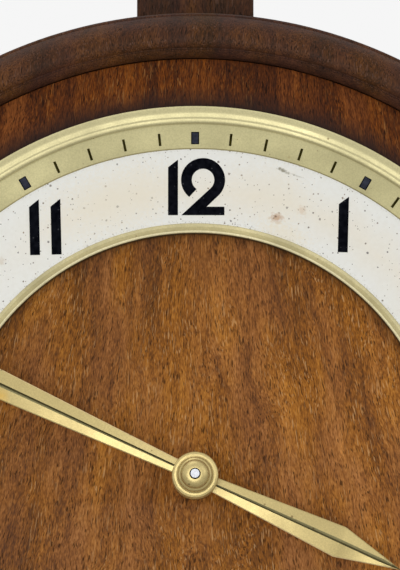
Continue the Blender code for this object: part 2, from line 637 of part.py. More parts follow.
def plate(name, z0, z1, centers):
    outline = rectangle(-PLATE_HALF, PLATE_HALF, PLATE_LOW, PLATE_HIGH)
    holes = [circle(radius, 8, at) for at, radius in centers]
    holes += [circle(SPIGOT_R + FIT, 8, at) for at in PILLARS]
    made = solid(flat(name, [outline] + holes, z0, z1))
    made.data.materials.append(BRASS)
    return made


plate("back_plate", Z_BACK, Z_BACK_IN, [
    (WIND, WIND_R * 0.7 + RUN), (SECOND, PIVOT_R + RUN), (CENTER, PIVOT_R + RUN), (THIRD, FINE_PIVOT_R + RUN),
    (ESCAPE, FINE_PIVOT_R + RUN), (PALLET, PIVOT_R + 0.0012)])
front_plate = plate("front_plate", Z_FRONT_IN, Z_FRONT, [
    (WIND, WIND_R * 0.85 + RUN), (SECOND, PIVOT_R + RUN), (CENTER, PIVOT_R + RUN), (THIRD, FINE_PIVOT_R + RUN),
    (ESCAPE, FINE_PIVOT_R + RUN), (PALLET, FINE_PIVOT_R + RUN)])
stud_r = 0.0010
join(front_plate, rod("minute_stud", stud_r, (*STUD, Z_FRONT_IN + 0.0005), (*STUD, Z_HOUR_W + 0.0035)))
join(front_plate, rod("click_stud", 0.0013, (*CLICK, Z_FRONT_IN + 0.0005), (*CLICK, Z_RATCHET + WHEEL_T + 0.0010)))
for k, at in enumerate(PILLARS):
    turned("pillar_" + str(k + 1), [
        (0, Z_BACK - 0.0025), (SPIGOT_R, Z_BACK - 0.0025), (SPIGOT_R, Z_BACK_IN + FIT), (PILLAR_R, Z_BACK_IN + FIT),
        (PILLAR_R, Z_FRONT_IN - FIT), (SPIGOT_R, Z_FRONT_IN - FIT), (SPIGOT_R, Z_PANEL - FIT), (0, Z_PANEL - FIT)],
        12, BRASS, (*at, 0))

# Going train

angle_wind = heading(WIND, SECOND)
drum_ring = flat("barrel_teeth", [gear(BARREL_T, M_BARREL, angle_wind), circle(DRUM_R - DRUM_WALL / 2, 28)],
                 Z_DRUM_TOP - 0.0022, Z_DRUM_TOP - 0.0001, None, WIND)
barrel = solid(turned("barrel", [
    (DRUM_R, Z_DRUM_TOP), (DRUM_R, Z_DRUM), (WIND_R + RUN, Z_DRUM), (WIND_R + RUN, Z_DRUM + 0.0015),
    (DRUM_R - DRUM_WALL, Z_DRUM + 0.0015), (DRUM_R - DRUM_WALL, Z_DRUM_TOP)], 28, None, (*WIND, 0)))
barrel.data.materials.append(BRASS)
join(barrel, drum_ring)
cap_r = DRUM_R - DRUM_WALL - FIT
flat("barrel_cap", [circle(cap_r, 28), circle(WIND_R + RUN, 16)], Z_DRUM_TOP - 0.0017, Z_DRUM_TOP - FIT, BRASS, WIND)


def spiral():
    """Outline of a flat strip coiled between the arbor and the drum wall."""
    thick = 0.0006
    inner = WIND_R + 0.0012
    outer = DRUM_R - DRUM_WALL - FIT - thick
    count = 14 * SPRING_TURNS
    outside = []
    inside = []
    for k in range(count + 1):
        a = 2 * math.pi * k / 14
        r = inner + (outer - inner) * k / count
        outside.append(((r + thick) * math.cos(a), (r + thick) * math.sin(a)))
        inside.append((r * math.cos(a), r * math.sin(a)))
    return outside + inside[::-1]


flat("mainspring", [spiral()], Z_DRUM + 0.0020, Z_DRUM_TOP - 0.0022, STEEL, WIND)
square_r = WIND_R * 0.85
barrel_arbor = solid(turned("barrel_arbor", [
    (0, Z_BACK - 0.0015), (WIND_R * 0.7, Z_BACK - 0.0015), (WIND_R * 0.7, Z_BACK_IN + 0.001), (WIND_R, Z_BACK_IN + 0.001),
    (WIND_R, Z_FRONT_IN - 0.001), (square_r, Z_FRONT_IN - 0.001), (square_r, Z_RATCHET + WHEEL_T + 0.0005),
    (0, Z_RATCHET + WHEEL_T + 0.0005)], 16, None, (*WIND, 0)))
barrel_arbor.data.materials.append(STEEL)
join(barrel_arbor, rod("key_square", square_r * 0.98, (*WIND, Z_RATCHET), (*WIND, Z_DIAL - 0.0015), 4))

click_heading = heading(WIND, CLICK + Vector((-0.0085, -0.0018)))
ratchet = []
for k in range(RATCHET_T):
    a = click_heading + 2 * math.pi * (k + 0.5) / RATCHET_T
    for radius, share in ((RATCHET_R * 0.86, -0.42), (RATCHET_R, 0.25), (RATCHET_R * 0.86, 0.42)):
        b = a + share * 2 * math.pi / RATCHET_T
        ratchet.append((radius * math.cos(b), radius * math.sin(b)))
flat("ratchet_wheel", [ratchet, circle(square_r + FIT, 16)], Z_RATCHET, Z_RATCHET + WHEEL_T, STEEL, WIND)
flat("click", [[(0.0026, 0.0006), (0.0010, 0.0026), (-0.0020, 0.0022), (-0.0075, -0.0006), (-0.0085, -0.0018),
                (-0.0078, -0.0019), (-0.0020, -0.0024), (0.0014, -0.0024)], circle(0.0013 + RUN, 10)],
     Z_RATCHET, Z_RATCHET + WHEEL_T, STEEL, CLICK)
click_spring = block("click_spring", (CLICK.x - 0.0028, CLICK.x + 0.0090), (CLICK.y + 0.0034, CLICK.y + 0.0040),
                     (Z_RATCHET, Z_RATCHET + WHEEL_T), STEEL)
join(click_spring, block("click_spring_foot", (CLICK.x + 0.0070, CLICK.x + 0.0120), (CLICK.y + 0.0010, CLICK.y + 0.0058),
                         (Z_FRONT + FIT, Z_RATCHET + WHEEL_T)))

angle_second = heading(SECOND, CENTER)
arbor("second_arbor", [(PIVOT_R, Z_BACK - 0.001), (PIVOT_R, Z_BACK_IN + 0.001), (SECOND_R, Z_BACK_IN + 0.001),
                       (SECOND_R, Z_FRONT_IN - 0.001), (PIVOT_R, Z_FRONT_IN - 0.001), (PIVOT_R, Z_FRONT + 0.0005)], SECOND,
      SECOND_LEAVES, M_BARREL, heading(SECOND, WIND) + math.pi / SECOND_LEAVES, Z_DRUM_TOP - 0.0045, Z_DRUM_TOP + 0.0020)
wheel("second_wheel", SECOND_T, M_SECOND, angle_second, Z_SECOND_W, SECOND_R + FIT, SECOND)

arbor("center_arbor", [(PIVOT_R, Z_BACK - 0.001), (PIVOT_R, Z_BACK_IN + 0.001), (CENTER_R, Z_BACK_IN + 0.001),
                       (CENTER_R, Z_FRONT_IN - 0.001), (PIVOT_R, Z_FRONT_IN - 0.001),
                       (PIVOT_R, Z_MINUTE_HAND + HAND_T + 0.0048)], CENTER,
      CENTER_LEAVES, M_SECOND, heading(CENTER, SECOND) + math.pi / CENTER_LEAVES, Z_SECOND_W - 0.0022, Z_SECOND_W + 0.0022)
wheel("center_wheel", CENTER_T, M_CENTER, heading(CENTER, THIRD), Z_CENTER_W, CENTER_R + FIT, CENTER)


def fine_arbor(name, at, leaves, module, phase, z):
    arbor(name, [(FINE_PIVOT_R, Z_BACK - 0.0005), (FINE_PIVOT_R, Z_BACK_IN + 0.0008), (FINE_R, Z_BACK_IN + 0.0008),
                 (FINE_R, Z_FRONT_IN - 0.0008), (FINE_PIVOT_R, Z_FRONT_IN - 0.0008), (FINE_PIVOT_R, Z_FRONT + 0.0003)],
          at, leaves, module, phase, z - 0.0018, z + 0.0018)


fine_arbor("third_arbor", THIRD, THIRD_LEAVES, M_CENTER, heading(THIRD, CENTER) + math.pi / THIRD_LEAVES, Z_CENTER_W)
wheel("third_wheel", THIRD_T, M_THIRD, heading(THIRD, ESCAPE), Z_THIRD_W, FINE_R + FIT, THIRD)
fine_arbor("escape_arbor", ESCAPE, ESCAPE_LEAVES, M_THIRD, heading(ESCAPE, THIRD) + math.pi / ESCAPE_LEAVES, Z_THIRD_W)
escape = []
for k in range(ESCAPE_T):
    pitch = 2 * math.pi / ESCAPE_T
    a = math.pi / 2 + PALLET_HALF + (k + 0.25) * pitch
    for radius, share in ((ESCAPE_R * 0.79, -0.28), (ESCAPE_R, 0.0), (ESCAPE_R * 0.79, 0.18)):
        escape.append((radius * math.cos(a + share * pitch), radius * math.sin(a + share * pitch)))
flat("escape_wheel", [escape, circle(FINE_R + FIT, 12)] + windows(0.0036, ESCAPE_R * 0.68, 4, 0.0018),
     Z_ESCAPE_W - 0.0006, Z_ESCAPE_W + 0.0006, BRASS, ESCAPE)

# Pallets, crutch and pendulum

down = Vector((math.sin(PALLET_HALF), math.cos(PALLET_HALF)))
across = Vector((down.y, -down.x))
tip = down * (ESCAPE_R + PALLET_CLEAR) - Vector((0, PALLET_REACH))
claw = [tip + down * 0.0014 - across * 0.0007, tip - across * 0.00015, tip + across * 0.00015,
        tip + down * 0.0014 + across * 0.0007, tip + down * 0.0034 + across * 0.0009]
half = [(0.0, -0.0022)] + [(p.x, p.y) for p in claw] + [(0.0020, 0.0026)]
outline = half + [(-x, y) for x, y in reversed(half[1:])]
pallets = solid(flat("pallets", [outline], Z_ESCAPE_W - 0.0010, Z_ESCAPE_W + 0.0010, None, PALLET))
pallets.data.materials.append(STEEL)
pivot_end = Z_COCK + 0.0003
join(pallets, turned("pallet_arbor", [
    (0, pivot_end), (FINE_PIVOT_R, pivot_end), (FINE_PIVOT_R, Z_COCK + 0.0024), (PIVOT_R, Z_COCK + 0.0024),
    (PIVOT_R, Z_FRONT_IN - 0.0008), (FINE_PIVOT_R, Z_FRONT_IN - 0.0008), (FINE_PIVOT_R, Z_FRONT + 0.0003),
    (0, Z_FRONT + 0.0003)], 12, None, (*PALLET, 0)))

z_crutch = (Z_BACK - 0.0034, Z_BACK - 0.0014)
crutch = solid(flat("crutch", [[
    (0.0030, -0.0025), (0.0030, 0.0030), (-0.0030, 0.0030), (-0.0030, -0.0025), (-0.0010, -0.0050),
    (-0.0010, -CRUTCH_LEN + 0.0020), (-0.0034, -CRUTCH_LEN + 0.0020), (-0.0034, -CRUTCH_LEN - 0.0010),
    (0.0034, -CRUTCH_LEN - 0.0010), (0.0034, -CRUTCH_LEN + 0.0020), (0.0010, -CRUTCH_LEN + 0.0020),
    (0.0010, -0.0050)], circle(PIVOT_R + FIT, 12)], *z_crutch, None, PALLET))
crutch.data.materials.append(STEEL)
fork_y = PALLET.y - CRUTCH_LEN
for side in (-1, 1):
    reach = sorted((side * (ROD_R + 0.0005), side * 0.0034))
    join(crutch, block("crutch_prong", reach, (fork_y - 0.0010, fork_y + 0.0020),
                       (Z_PEND - ROD_R - 0.0015, z_crutch[0] + 0.0005)))

cock_x = 0.0160
cock = block("suspension_cock", (-cock_x, cock_x), (PALLET.y - 0.0060, PALLET.y + 0.0080),
             (Z_COCK, Z_COCK + 0.0020), BRASS)
for side in (-1, 1):
    foot = sorted((side * (cock_x - 0.0050), side * cock_x))
    cheek = sorted((side * 0.0008, side * 0.0036))
    join(cock, block("cock_foot", foot, (PALLET.y - 0.0060, PALLET.y + 0.0080), (Z_COCK + 0.0015, Z_BACK - FIT)))
    join(cock, block("cock_cheek", cheek, (PALLET.y + 0.0005, PALLET.y + 0.0050), (Z_PEND - 0.0035, Z_COCK + 0.0005)))
cut(cock, rod("cock_bore", FINE_PIVOT_R + RUN, (*PALLET, Z_COCK - 0.001), (*PALLET, Z_COCK + 0.003)))

spring = block("suspension_spring", (-0.00025, 0.00025), (PALLET.y - 0.0140, PALLET.y + 0.0062),
               (Z_PEND - 0.0020, Z_PEND + 0.0020), STEEL)
join(spring, rod("suspension_pin", 0.0008, (-0.0030, PALLET.y + 0.0062, Z_PEND), (0.0030, PALLET.y + 0.0062, Z_PEND),
                 10, None, "X"))
join(spring, block("suspension_chop", (-0.0022, 0.0022), (PALLET.y - 0.0180, PALLET.y - 0.0120),
                   (Z_PEND - 0.0028, Z_PEND + 0.0028)))
nut_top = BOB_Y - BOB_R - FIT
rod("pendulum_rod", ROD_R, (0, PALLET.y - 0.0180 - FIT, Z_PEND), (0, nut_top - NUT_H - 0.0080, Z_PEND), 12, BRASS, "Y")
bob_half = BOB_T / 2
bob = solid(turned("pendulum_bob", [
    (0, bob_half), (BOB_R * 0.45, bob_half * 0.90), (BOB_R * 0.78, bob_half * 0.64), (BOB_R, BOB_RIM_T / 2),
    (BOB_R, -BOB_RIM_T / 2), (BOB_R * 0.78, -bob_half * 0.64), (BOB_R * 0.45, -bob_half * 0.90), (0, -bob_half)],
    30, None, (0, BOB_Y, Z_PEND)))
bob.data.materials.append(BRASS)
cut(bob, rod("bob_bore", ROD_R + FIT, (0, BOB_Y - BOB_R - 0.01, Z_PEND), (0, BOB_Y + BOB_R + 0.01, Z_PEND), 12, None, "Y"))
turned("rating_nut", [(NUT_R, 0), (NUT_R, -NUT_H), (ROD_R + FIT, -NUT_H), (ROD_R + FIT, 0)], 16, BRASS,
       (0, nut_top, Z_PEND), (-math.pi / 2, 0, 0))

# Motion work and hands

cannon_end = Z_MINUTE_HAND + HAND_T
cannon = solid(turned("cannon_pinion", [
    (CANNON_R, cannon_end), (CANNON_R, Z_CANNON), (PIVOT_R + RUN, Z_CANNON), (PIVOT_R + RUN, cannon_end)], 16))
cannon.data.materials.append(STEEL)
join(cannon, flat("cannon_leaves", [gear(CANNON_LEAVES, M_CANNON, heading(CENTER, STUD), True), circle(0.0020, 16)],
                  Z_CANNON, Z_CANNON + 0.0030))
minute_wheel = solid(flat("minute_wheel", [
    gear(MINUTE_T, M_CANNON, heading(STUD, CENTER) + math.pi / MINUTE_T), circle(stud_r + RUN, 12)],
    Z_CANNON + 0.0006, Z_CANNON + 0.0006 + WHEEL_T, None, STUD))
minute_wheel.data.materials.append(BRASS)
join(minute_wheel, flat("minute_leaves", [gear(MINUTE_LEAVES, M_HOUR, heading(STUD, CENTER), True),
                                          circle(stud_r + RUN, 12)],
                        Z_CANNON + 0.0006 + WHEEL_T - 0.0002, Z_HOUR_W + 0.0024, None, STUD))
hour_end = Z_HOUR_HAND + HAND_T
hour_wheel = solid(turned("hour_wheel", [
    (HOUR_R, hour_end), (HOUR_R, Z_HOUR_W - 0.0006), (CANNON_R + RUN, Z_HOUR_W - 0.0006), (CANNON_R + RUN, hour_end)], 16))
hour_wheel.data.materials.append(BRASS)
join(hour_wheel, flat("hour_teeth", [gear(HOUR_T, M_HOUR, heading(CENTER, STUD) + math.pi / HOUR_T), circle(0.0033, 16)],
                      Z_HOUR_W - 0.0005, Z_HOUR_W - 0.0005 + WHEEL_T))


def hand(name, length, width, wide_at, bore, z, angle):
    """A lance hand: widening from the hub, then drawn to a point."""
    root = math.asin(HAND_ROOT_W / 2 / HAND_HUB_R)
    hub = [(HAND_HUB_R * math.sin(a), HAND_HUB_R * math.cos(a)) for a in
           (root + (2 * math.pi - 2 * root) * k / 14 for k in range(15))]
    shape = hub + [(-width / 2, wide_at), (0, length), (width / 2, wide_at)]
    outlines = [shape[::-1], circle(bore, 16)]
    made = flat(name, outlines, z, z + HAND_T, BRASS)
    made.rotation_euler = (0, 0, -angle)
    return made


hand("hour_hand", HOUR_LEN, HOUR_W, HOUR_WIDE_AT, HOUR_R + FIT, Z_HOUR_HAND, HOUR_ANGLE)
hand("minute_hand", MINUTE_LEN, MINUTE_W, MINUTE_WIDE_AT, CANNON_R + FIT, Z_MINUTE_HAND, MINUTE_ANGLE)
nut_z = Z_MINUTE_HAND + HAND_T + FIT
turned("hand_nut", [(0.0046, nut_z), (0.0046, nut_z + 0.0016), (0.0032, nut_z + 0.0034), (PIVOT_R + RUN, nut_z + 0.0038),
                    (PIVOT_R + RUN, nut_z)], 16, BRASS)
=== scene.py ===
# %% [markdown]
# # Dressing a banjo wall clock
# The clock hangs on a wall: a round walnut head with a brass and white dial, a tapered throat, and a box
# with a glazed door for the pendulum bob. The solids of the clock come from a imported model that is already
# in metres, standing up, with its front towards -Y. Nothing is scaled or moved here. Each finer piece is
# built where its solid is, rides on the same body, and stands in for that solid.

from math import asin, cos, exp, hypot, pi, radians, sin, tan

import bmesh
import bpy
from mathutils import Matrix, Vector


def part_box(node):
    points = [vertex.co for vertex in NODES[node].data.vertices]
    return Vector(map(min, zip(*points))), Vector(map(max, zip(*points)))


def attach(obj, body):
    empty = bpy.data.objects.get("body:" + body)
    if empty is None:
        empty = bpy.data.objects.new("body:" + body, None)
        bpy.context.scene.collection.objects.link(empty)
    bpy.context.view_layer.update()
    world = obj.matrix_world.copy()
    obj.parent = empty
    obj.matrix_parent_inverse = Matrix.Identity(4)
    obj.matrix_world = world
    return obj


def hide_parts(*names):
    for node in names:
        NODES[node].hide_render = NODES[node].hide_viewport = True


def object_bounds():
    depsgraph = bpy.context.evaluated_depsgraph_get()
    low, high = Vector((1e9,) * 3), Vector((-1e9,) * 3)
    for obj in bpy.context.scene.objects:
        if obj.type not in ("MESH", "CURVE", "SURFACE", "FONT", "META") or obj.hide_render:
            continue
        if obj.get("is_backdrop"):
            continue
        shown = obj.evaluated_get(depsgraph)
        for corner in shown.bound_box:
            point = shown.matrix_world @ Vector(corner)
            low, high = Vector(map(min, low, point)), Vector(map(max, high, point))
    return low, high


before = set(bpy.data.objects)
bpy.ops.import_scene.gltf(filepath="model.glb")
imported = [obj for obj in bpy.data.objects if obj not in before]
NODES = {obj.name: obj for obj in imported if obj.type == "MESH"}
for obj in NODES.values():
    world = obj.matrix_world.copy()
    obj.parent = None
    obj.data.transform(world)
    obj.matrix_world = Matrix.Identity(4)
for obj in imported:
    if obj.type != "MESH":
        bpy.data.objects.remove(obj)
CAD_LOW, CAD_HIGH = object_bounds()
print("loaded", len(NODES), "solids,", [round(1000 * v, 1) for v in CAD_HIGH - CAD_LOW], "mm")

# %% [markdown]
# ## The camera
# The photograph looks at the upper part of the dial from a little below: the raised hand sits higher
# against the dial than its axis would put it, while the circles still look round. A long lens far away,
# low and tilted up by a few degrees, does the same. The picture is 400 by 570 points, and the number of
# points in the outer radius of the brass bezel gives the lens.

# %% Camera at the photograph's view
MM = 0.001
BEZEL_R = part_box("minute_ring")[1].x
R_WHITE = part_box("chapter_ring")[1].x
R_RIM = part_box("inner_rim")[1].x
R_WOOD = R_RIM - 0.0027
PANEL_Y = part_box("dial_panel")[0].y
PICTURE_TALL, BEZEL_POINTS = 570, 376.0
POINT = BEZEL_R / BEZEL_POINTS
CAMERA_AWAY, CAMERA_ASIDE, CAMERA_HEIGHT = 1.5, 0.0013, -0.1191
LOOK_UP = radians(6.5)
SENSOR = 36


def holder(data, name="holder"):
    """A new object in the scene."""
    made = bpy.data.objects.new(name, data)
    bpy.context.scene.collection.objects.link(made)
    return made


camera = holder(bpy.data.cameras.new("camera"), "camera")
camera.data.sensor_fit = "VERTICAL"
camera.data.sensor_height = SENSOR
camera.data.lens = SENSOR * CAMERA_AWAY / (PICTURE_TALL * POINT)
camera.data.clip_end = 50
camera.location = (CAMERA_ASIDE, PANEL_Y - CAMERA_AWAY, CAMERA_HEIGHT)
camera.rotation_euler = (pi / 2 + LOOK_UP, 0, 0)
bpy.context.scene.camera = camera
print("lens", round(camera.data.lens), "mm; one point is", round(POINT / MM, 3), "mm")

# %% [markdown]
# ## Short calls for shader nodes
# Every finish below is a small network of nodes. The output of a node is wrapped as a signal, which can be
# added and multiplied like a number, and a new node goes into the tree that its inputs are in. So a finish
# can be written as a few lines that say what it does. Colours are written as the 0 to 255 values that a
# picture shows, and turned into the linear values that the shader needs.

# %% Nodes and arithmetic
class Signal:
    """The output of a node, which can stand in a sum like a number."""

    def __init__(self, socket):
        self.socket = socket

    def __add__(self, other):
        return calc("ADD", self, other)

    def __sub__(self, other):
        return calc("SUBTRACT", self, other)

    def __rsub__(self, other):
        return calc("SUBTRACT", other, self)

    def __mul__(self, other):
        return calc("MULTIPLY", self, other)


def feed(made, values):
    """Set the inputs of a node, or link those for which a signal is given."""
    for key, value in values.items():
        if isinstance(value, Signal):
            made.id_data.links.new(value.socket, made.inputs[key])
        else:
            made.inputs[key].default_value = value
    return made


def add(kind, values, **settings):
    """A new node, in the tree where the signals for its inputs are."""
    made = next(v for v in values.values() if isinstance(v, Signal)).socket.id_data.nodes.new(kind)
    for key, value in settings.items():
        setattr(made, key, value)
    return feed(made, values)


def signals(made):
    """The outputs of a node by name."""
    return {socket.name: Signal(socket) for socket in made.outputs}


def node(kind, values, output=0, **settings):
    return Signal(add(kind, values, **settings).outputs[output])


print("signals ready")

# %% Arithmetic, noise and mixing
def calc(operation, a, b=0.0):
    return node("ShaderNodeMath", {0: a, 1: b}, operation=operation)


def vectors(operation, values, output=0):
    return node("ShaderNodeVectorMath", values, output, operation=operation)


def joined(**axes):
    return node("ShaderNodeCombineXYZ", axes)


def axes_of(vector):
    return signals(add("ShaderNodeSeparateXYZ", {"Vector": vector}))


def noise(vector, scale, detail=2.0, roughness=0.5):
    values = {"Vector": vector, "Scale": scale, "Detail": detail, "Roughness": roughness}
    return node("ShaderNodeTexNoise", values)


def span(value, low, high, to_low=0.0, to_high=1.0):
    values = {"Value": value, "From Min": low, "From Max": high, "To Min": to_low, "To Max": to_high}
    return node("ShaderNodeMapRange", values)


def tint(share, a, b, how="MIX"):
    return node("ShaderNodeMix", {0: share, 6: a, 7: b}, 2, data_type="RGBA", blend_type=how)


print("node helpers ready")

# %% Colours, materials and effects
SHADER = "Principled BSDF"


def shade(red, green, blue):
    """A colour of a picture as linear values."""
    linear = [c / 255 / 12.92 if c < 11 else ((c / 255 + 0.055) / 1.055) ** 2.4 for c in (red, green, blue)]
    return (*linear, 1.0)


def scaled(colour, by):
    return shade(*[min(255, c * by) for c in colour])


def effect(name, inputs, outputs):
    """A shader node group: its tree, its inputs and its output node; an input without a value is a vector."""
    tree = bpy.data.node_groups.new(name, "ShaderNodeTree")
    for label, value in inputs.items():
        kind = "NodeSocketVector" if value is None else "NodeSocketFloat"
        socket = tree.interface.new_socket(label, in_out="INPUT", socket_type=kind)
        if value is not None:
            socket.default_value = value
    for label in outputs:
        tree.interface.new_socket(label, in_out="OUTPUT", socket_type="NodeSocketFloat")
    return tree, signals(tree.nodes.new("NodeGroupInput")), tree.nodes.new("NodeGroupOutput")


def place_effect(group, values):
    return signals(add("ShaderNodeGroup", values, node_tree=group))


def finish(name, roughness=0.5, metallic=0.0, coat=0.0, specular=0.4):
    """A new material, and the object coordinates in it."""
    material = bpy.data.materials.new(name)
    material.use_nodes = True
    nodes = material.node_tree.nodes
    feed(nodes[SHADER], {"Roughness": roughness, "Metallic": metallic, "Coat Weight": coat,
                         "Specular IOR Level": specular})
    return material, signals(nodes.new("ShaderNodeTexCoord"))["Object"]


def surface(material, colour, height, strength, distance, **values):
    """Feed the shader of a material: its colour, bumps from a height, and other inputs."""
    bumps = node("ShaderNodeBump", {"Height": height, "Strength": strength, "Distance": distance})
    feed(material.node_tree.nodes[SHADER], {"Base Color": colour, "Normal": bumps, **values})
    return material


print("material helpers ready")

# %% [markdown]
# ## Walnut
# Walnut shows slow streaks of dark and light along the board, fine fibres, short dark pores like pencil
# dashes, and pale flecks in some places. All of them run along the grain, so each is a noise that is
# squeezed across the grain and stretched along it. The group gives masks only; each board chooses its own
# browns, and turns the coordinates when its grain runs sideways.

# %% Wood effect
# Features to the metre across and along the grain, where the noise is read, and its detail.
GRAIN = {"narrow": (620, 52, (0, 0, 0), 3.0), "fibre": (2600, 260, (1, 2, 8), 3.0),
         "fine": (4200, 800, (2, 6, 1), 1.0), "patch": (95, 30, (4, 9, 2), 3.0),
         "pore": (3400, 420, (3, 1, 6), 1.0), "fleck": (3400, 230, (7, 3, 5), 1.0)}
SWAY = ((34, 9, 0.012), (170, 60, 0.0026))
TONE_WEIGHTS = {"streak": 0.74, "narrow": 0.34, "fibre": 0.40, "fine": 0.62}
STREAK_LENGTH = 0.11
wood_tree, given, out = effect("wood_grain", {"Vector": None, "Streak": 120.0, "Pores": 1.0},
                               ["Tone", "Patch", "Fibre", "Pore", "Fleck", "Height"])


def stretch(vector, scale, offset=(0, 0, 0)):
    return node("ShaderNodeMapping", {"Vector": vector, "Scale": scale, "Location": offset})


def along_grain(vector, across, length, offset=(0, 0, 0), detail=2.0):
    """Noise with so many features to the metre across and along the grain."""
    return noise(stretch(vector, (across, across, length), offset), 1.0, detail)


drift = 0.0
for across, length, reach in SWAY:
    drift = (along_grain(given["Vector"], across, length) - 0.5) * reach + drift
along = vectors("ADD", {0: given["Vector"], 1: joined(X=drift, Y=drift)})
layer = {name: along_grain(along, *numbers) for name, numbers in GRAIN.items()}
broad = vectors("SCALE", {0: stretch(along, (1, 1, STREAK_LENGTH)), 3: given["Streak"]})
layer["streak"] = noise(broad, 1.0, 4.0, 0.6)
tone = 0.5
for name, weight in TONE_WEIGHTS.items():
    tone = (layer[name] - 0.5) * weight + tone
pore = span(layer["pore"], 0.61, 0.67) * given["Pores"]
fleck = span(layer["fleck"], 0.62, 0.68) * span(layer["patch"], 0.40, 0.56)
feed(out, {"Tone": tone, "Patch": layer["patch"], "Fibre": layer["fibre"], "Pore": pore, "Fleck": fleck,
           "Height": layer["fibre"] * 0.35 - pore})
print("wood effect with", len(layer), "layers of noise")

# %% [markdown]
# ## Boards of walnut
# A board takes its colours from the tone of the grain through a run of browns. On the dial panel the grain
# draws together towards the top. Painted shade makes the panel darker towards the left. Outside the bezel
# the wood is deeper and redder, partly its own colour and partly painted shade. A painted shadow of the
# bezel lies on the wood just outside it, and dirt and painted shade darken the wood against the brass of
# the inner rim. Distances from the dial axis place these marks, so no picture has to be painted.

# %% Walnut finishes
SIDEWAYS = (0, pi / 2, 0)
WOOD_GLOSS = 0.45
COOL_WOOD, WARM_WOOD = shade(240, 236, 255), shade(255, 248, 192)
FLECK_GAIN = (1.12, 1.28, 1.70)


def ramp(factor, stops):
    """A run of colours: the first and last stop already exist, the others go between."""
    made = add("ShaderNodeValToRGB", {"Fac": factor})
    steps = made.color_ramp.elements
    steps[0].position, steps[1].position = stops[0][0], stops[-1][0]
    steps[0].color, steps[1].color = stops[0][1], stops[-1][1]
    for at, colour in stops[1:-1]:
        steps.new(at).color = colour
    return Signal(made.outputs[0])


def fanned(place):
    """Draw the grain together towards the top, as in a board cut near the heart."""
    x, y, z = axes_of(place).values()
    draw = calc("SINE", (z - 0.04) * 16.0) * 0.25 + 1.0
    return joined(X=x * draw, Y=y, Z=z)


def walnut(name, dark, middle, light, turn=(0, 0, 0), fan=False, aging_and_shade=None):
    material, place = finish(name, specular=0.12)
    flow = node("ShaderNodeMapping", {"Vector": fanned(place) if fan else place, "Rotation": turn})
    grain = place_effect(wood_tree, {"Vector": flow})
    between = [(a + b) / 2 for a, b in zip(dark, middle)]
    colour = ramp(grain["Tone"], (
        (0.12, scaled(dark, 0.8)), (0.30, shade(*dark)), (0.42, shade(*between)), (0.52, shade(*middle)),
        (0.70, shade(*light)), (0.88, scaled(light, 1.15))))
    warm = tint(span(grain["Patch"], 0.38, 0.62), COOL_WOOD, WARM_WOOD)
    colour = tint(1.0, colour, warm, "MULTIPLY")
    pale = shade(*[c * gain for c, gain in zip(light, FLECK_GAIN)])
    colour = tint(grain["Fleck"] * 0.60, colour, pale)
    colour = tint(grain["Pore"] * 0.72, colour, scaled(dark, 0.45))
    # Age marks and painted shade, on the dial panel only.
    if aging_and_shade:
        colour = aging_and_shade(place, colour)
    rough = grain["Pore"] * 0.25 + WOOD_GLOSS + grain["Fibre"] * 0.14
    return surface(material, colour, grain["Height"], 0.35, 0.00015, Roughness=rough)


print("a board has six browns")

# %% Age and painted shade of the dial panel
DISC_R = 0.07
# Where the wood starts to darken towards the rim, with dirt and painted shade, and the width of the dark
# corner line.
DIRT_AND_SHADE_FROM, DIRT_AND_SHADE_TO, CORNER = 0.0635, 0.0664, 0.0005


def from_axis(place):
    """A point's place in the plane of the dial, and its distance from the dial axis."""
    at = axes_of(place)
    flat = joined(X=at["X"], Y=at["Z"])
    return flat, vectors("LENGTH", {0: flat}, 1)


def dial_grime(place, colour):
    """Darker to the left as painted shade, deeper outside the bezel partly as painted shade, a painted shadow
    of the bezel, and dirt and painted shade against the rim.
    """
    radius = from_axis(place)[1]
    within = calc("LESS_THAN", radius, DISC_R)
    outside = calc("GREATER_THAN", radius, BEZEL_R - 0.002)
    # Painted shade: the panel darkens towards the left, as if the light fell more on its right.
    shade_to_left = within * span(axes_of(place)["X"], -0.06, 0.06, 1.0, 0.0)
    colour = tint(shade_to_left, colour, shade(236, 236, 236), "MULTIPLY")
    # Outside the bezel the wood is deeper and redder: partly its own darker colour, partly painted shade.
    deep = node("ShaderNodeGamma", {"Color": colour, "Gamma": 1.35})
    colour = tint(outside, colour, tint(1.0, deep, shade(216, 216, 216), "MULTIPLY"))
    ragged = noise(place, 260.0, 3.0) * 0.0012 + radius
    # Painted shadow of the bezel: a dark ragged band on the wood just outside it.
    bezel_shadow = outside * span(ragged, BEZEL_R + 0.0012, BEZEL_R + 0.0066, 0.9, 0.0)
    colour = tint(bezel_shadow, colour, shade(40, 26, 22))
    # Dirt and painted shade: the wood darkens towards the inner rim.
    colour = tint(within * span(ragged, DIRT_AND_SHADE_FROM, DIRT_AND_SHADE_TO, 0.0, 0.35), colour, shade(44, 30, 14))
    # A thin dark line in the corner against the rim: dirt and painted shade.
    return tint(within * span(radius, R_WOOD - CORNER, R_WOOD, 0.0, 0.65), colour, shade(46, 30, 9))


CASE_BROWNS = ((70, 43, 24), (106, 66, 34), (130, 86, 48))
WALNUT = walnut("walnut_panel", (98, 59, 26), (147, 92, 37), (181, 122, 61), fan=True, aging_and_shade=dial_grime)
WALNUT_CASE = walnut("walnut_case", *CASE_BROWNS)
WALNUT_ACROSS = walnut("walnut_across", *CASE_BROWNS, SIDEWAYS)
WALNUT_DARK = walnut("walnut_dark", (50, 32, 22), (74, 45, 29), (98, 62, 38))
print("walnut in", len([m for m in bpy.data.materials if m.name.startswith("walnut")]), "finishes")

# %% [markdown]
# ## Brass
# Old lacquered brass is never one colour: it clouds slowly, picks up small brown spots, and keeps fine
# marks from the lathe that follow its circles. The group gives clouds, spots and a fine grain. The lathe
# marks are noise read at the radius, so they run in circles about the dial axis.

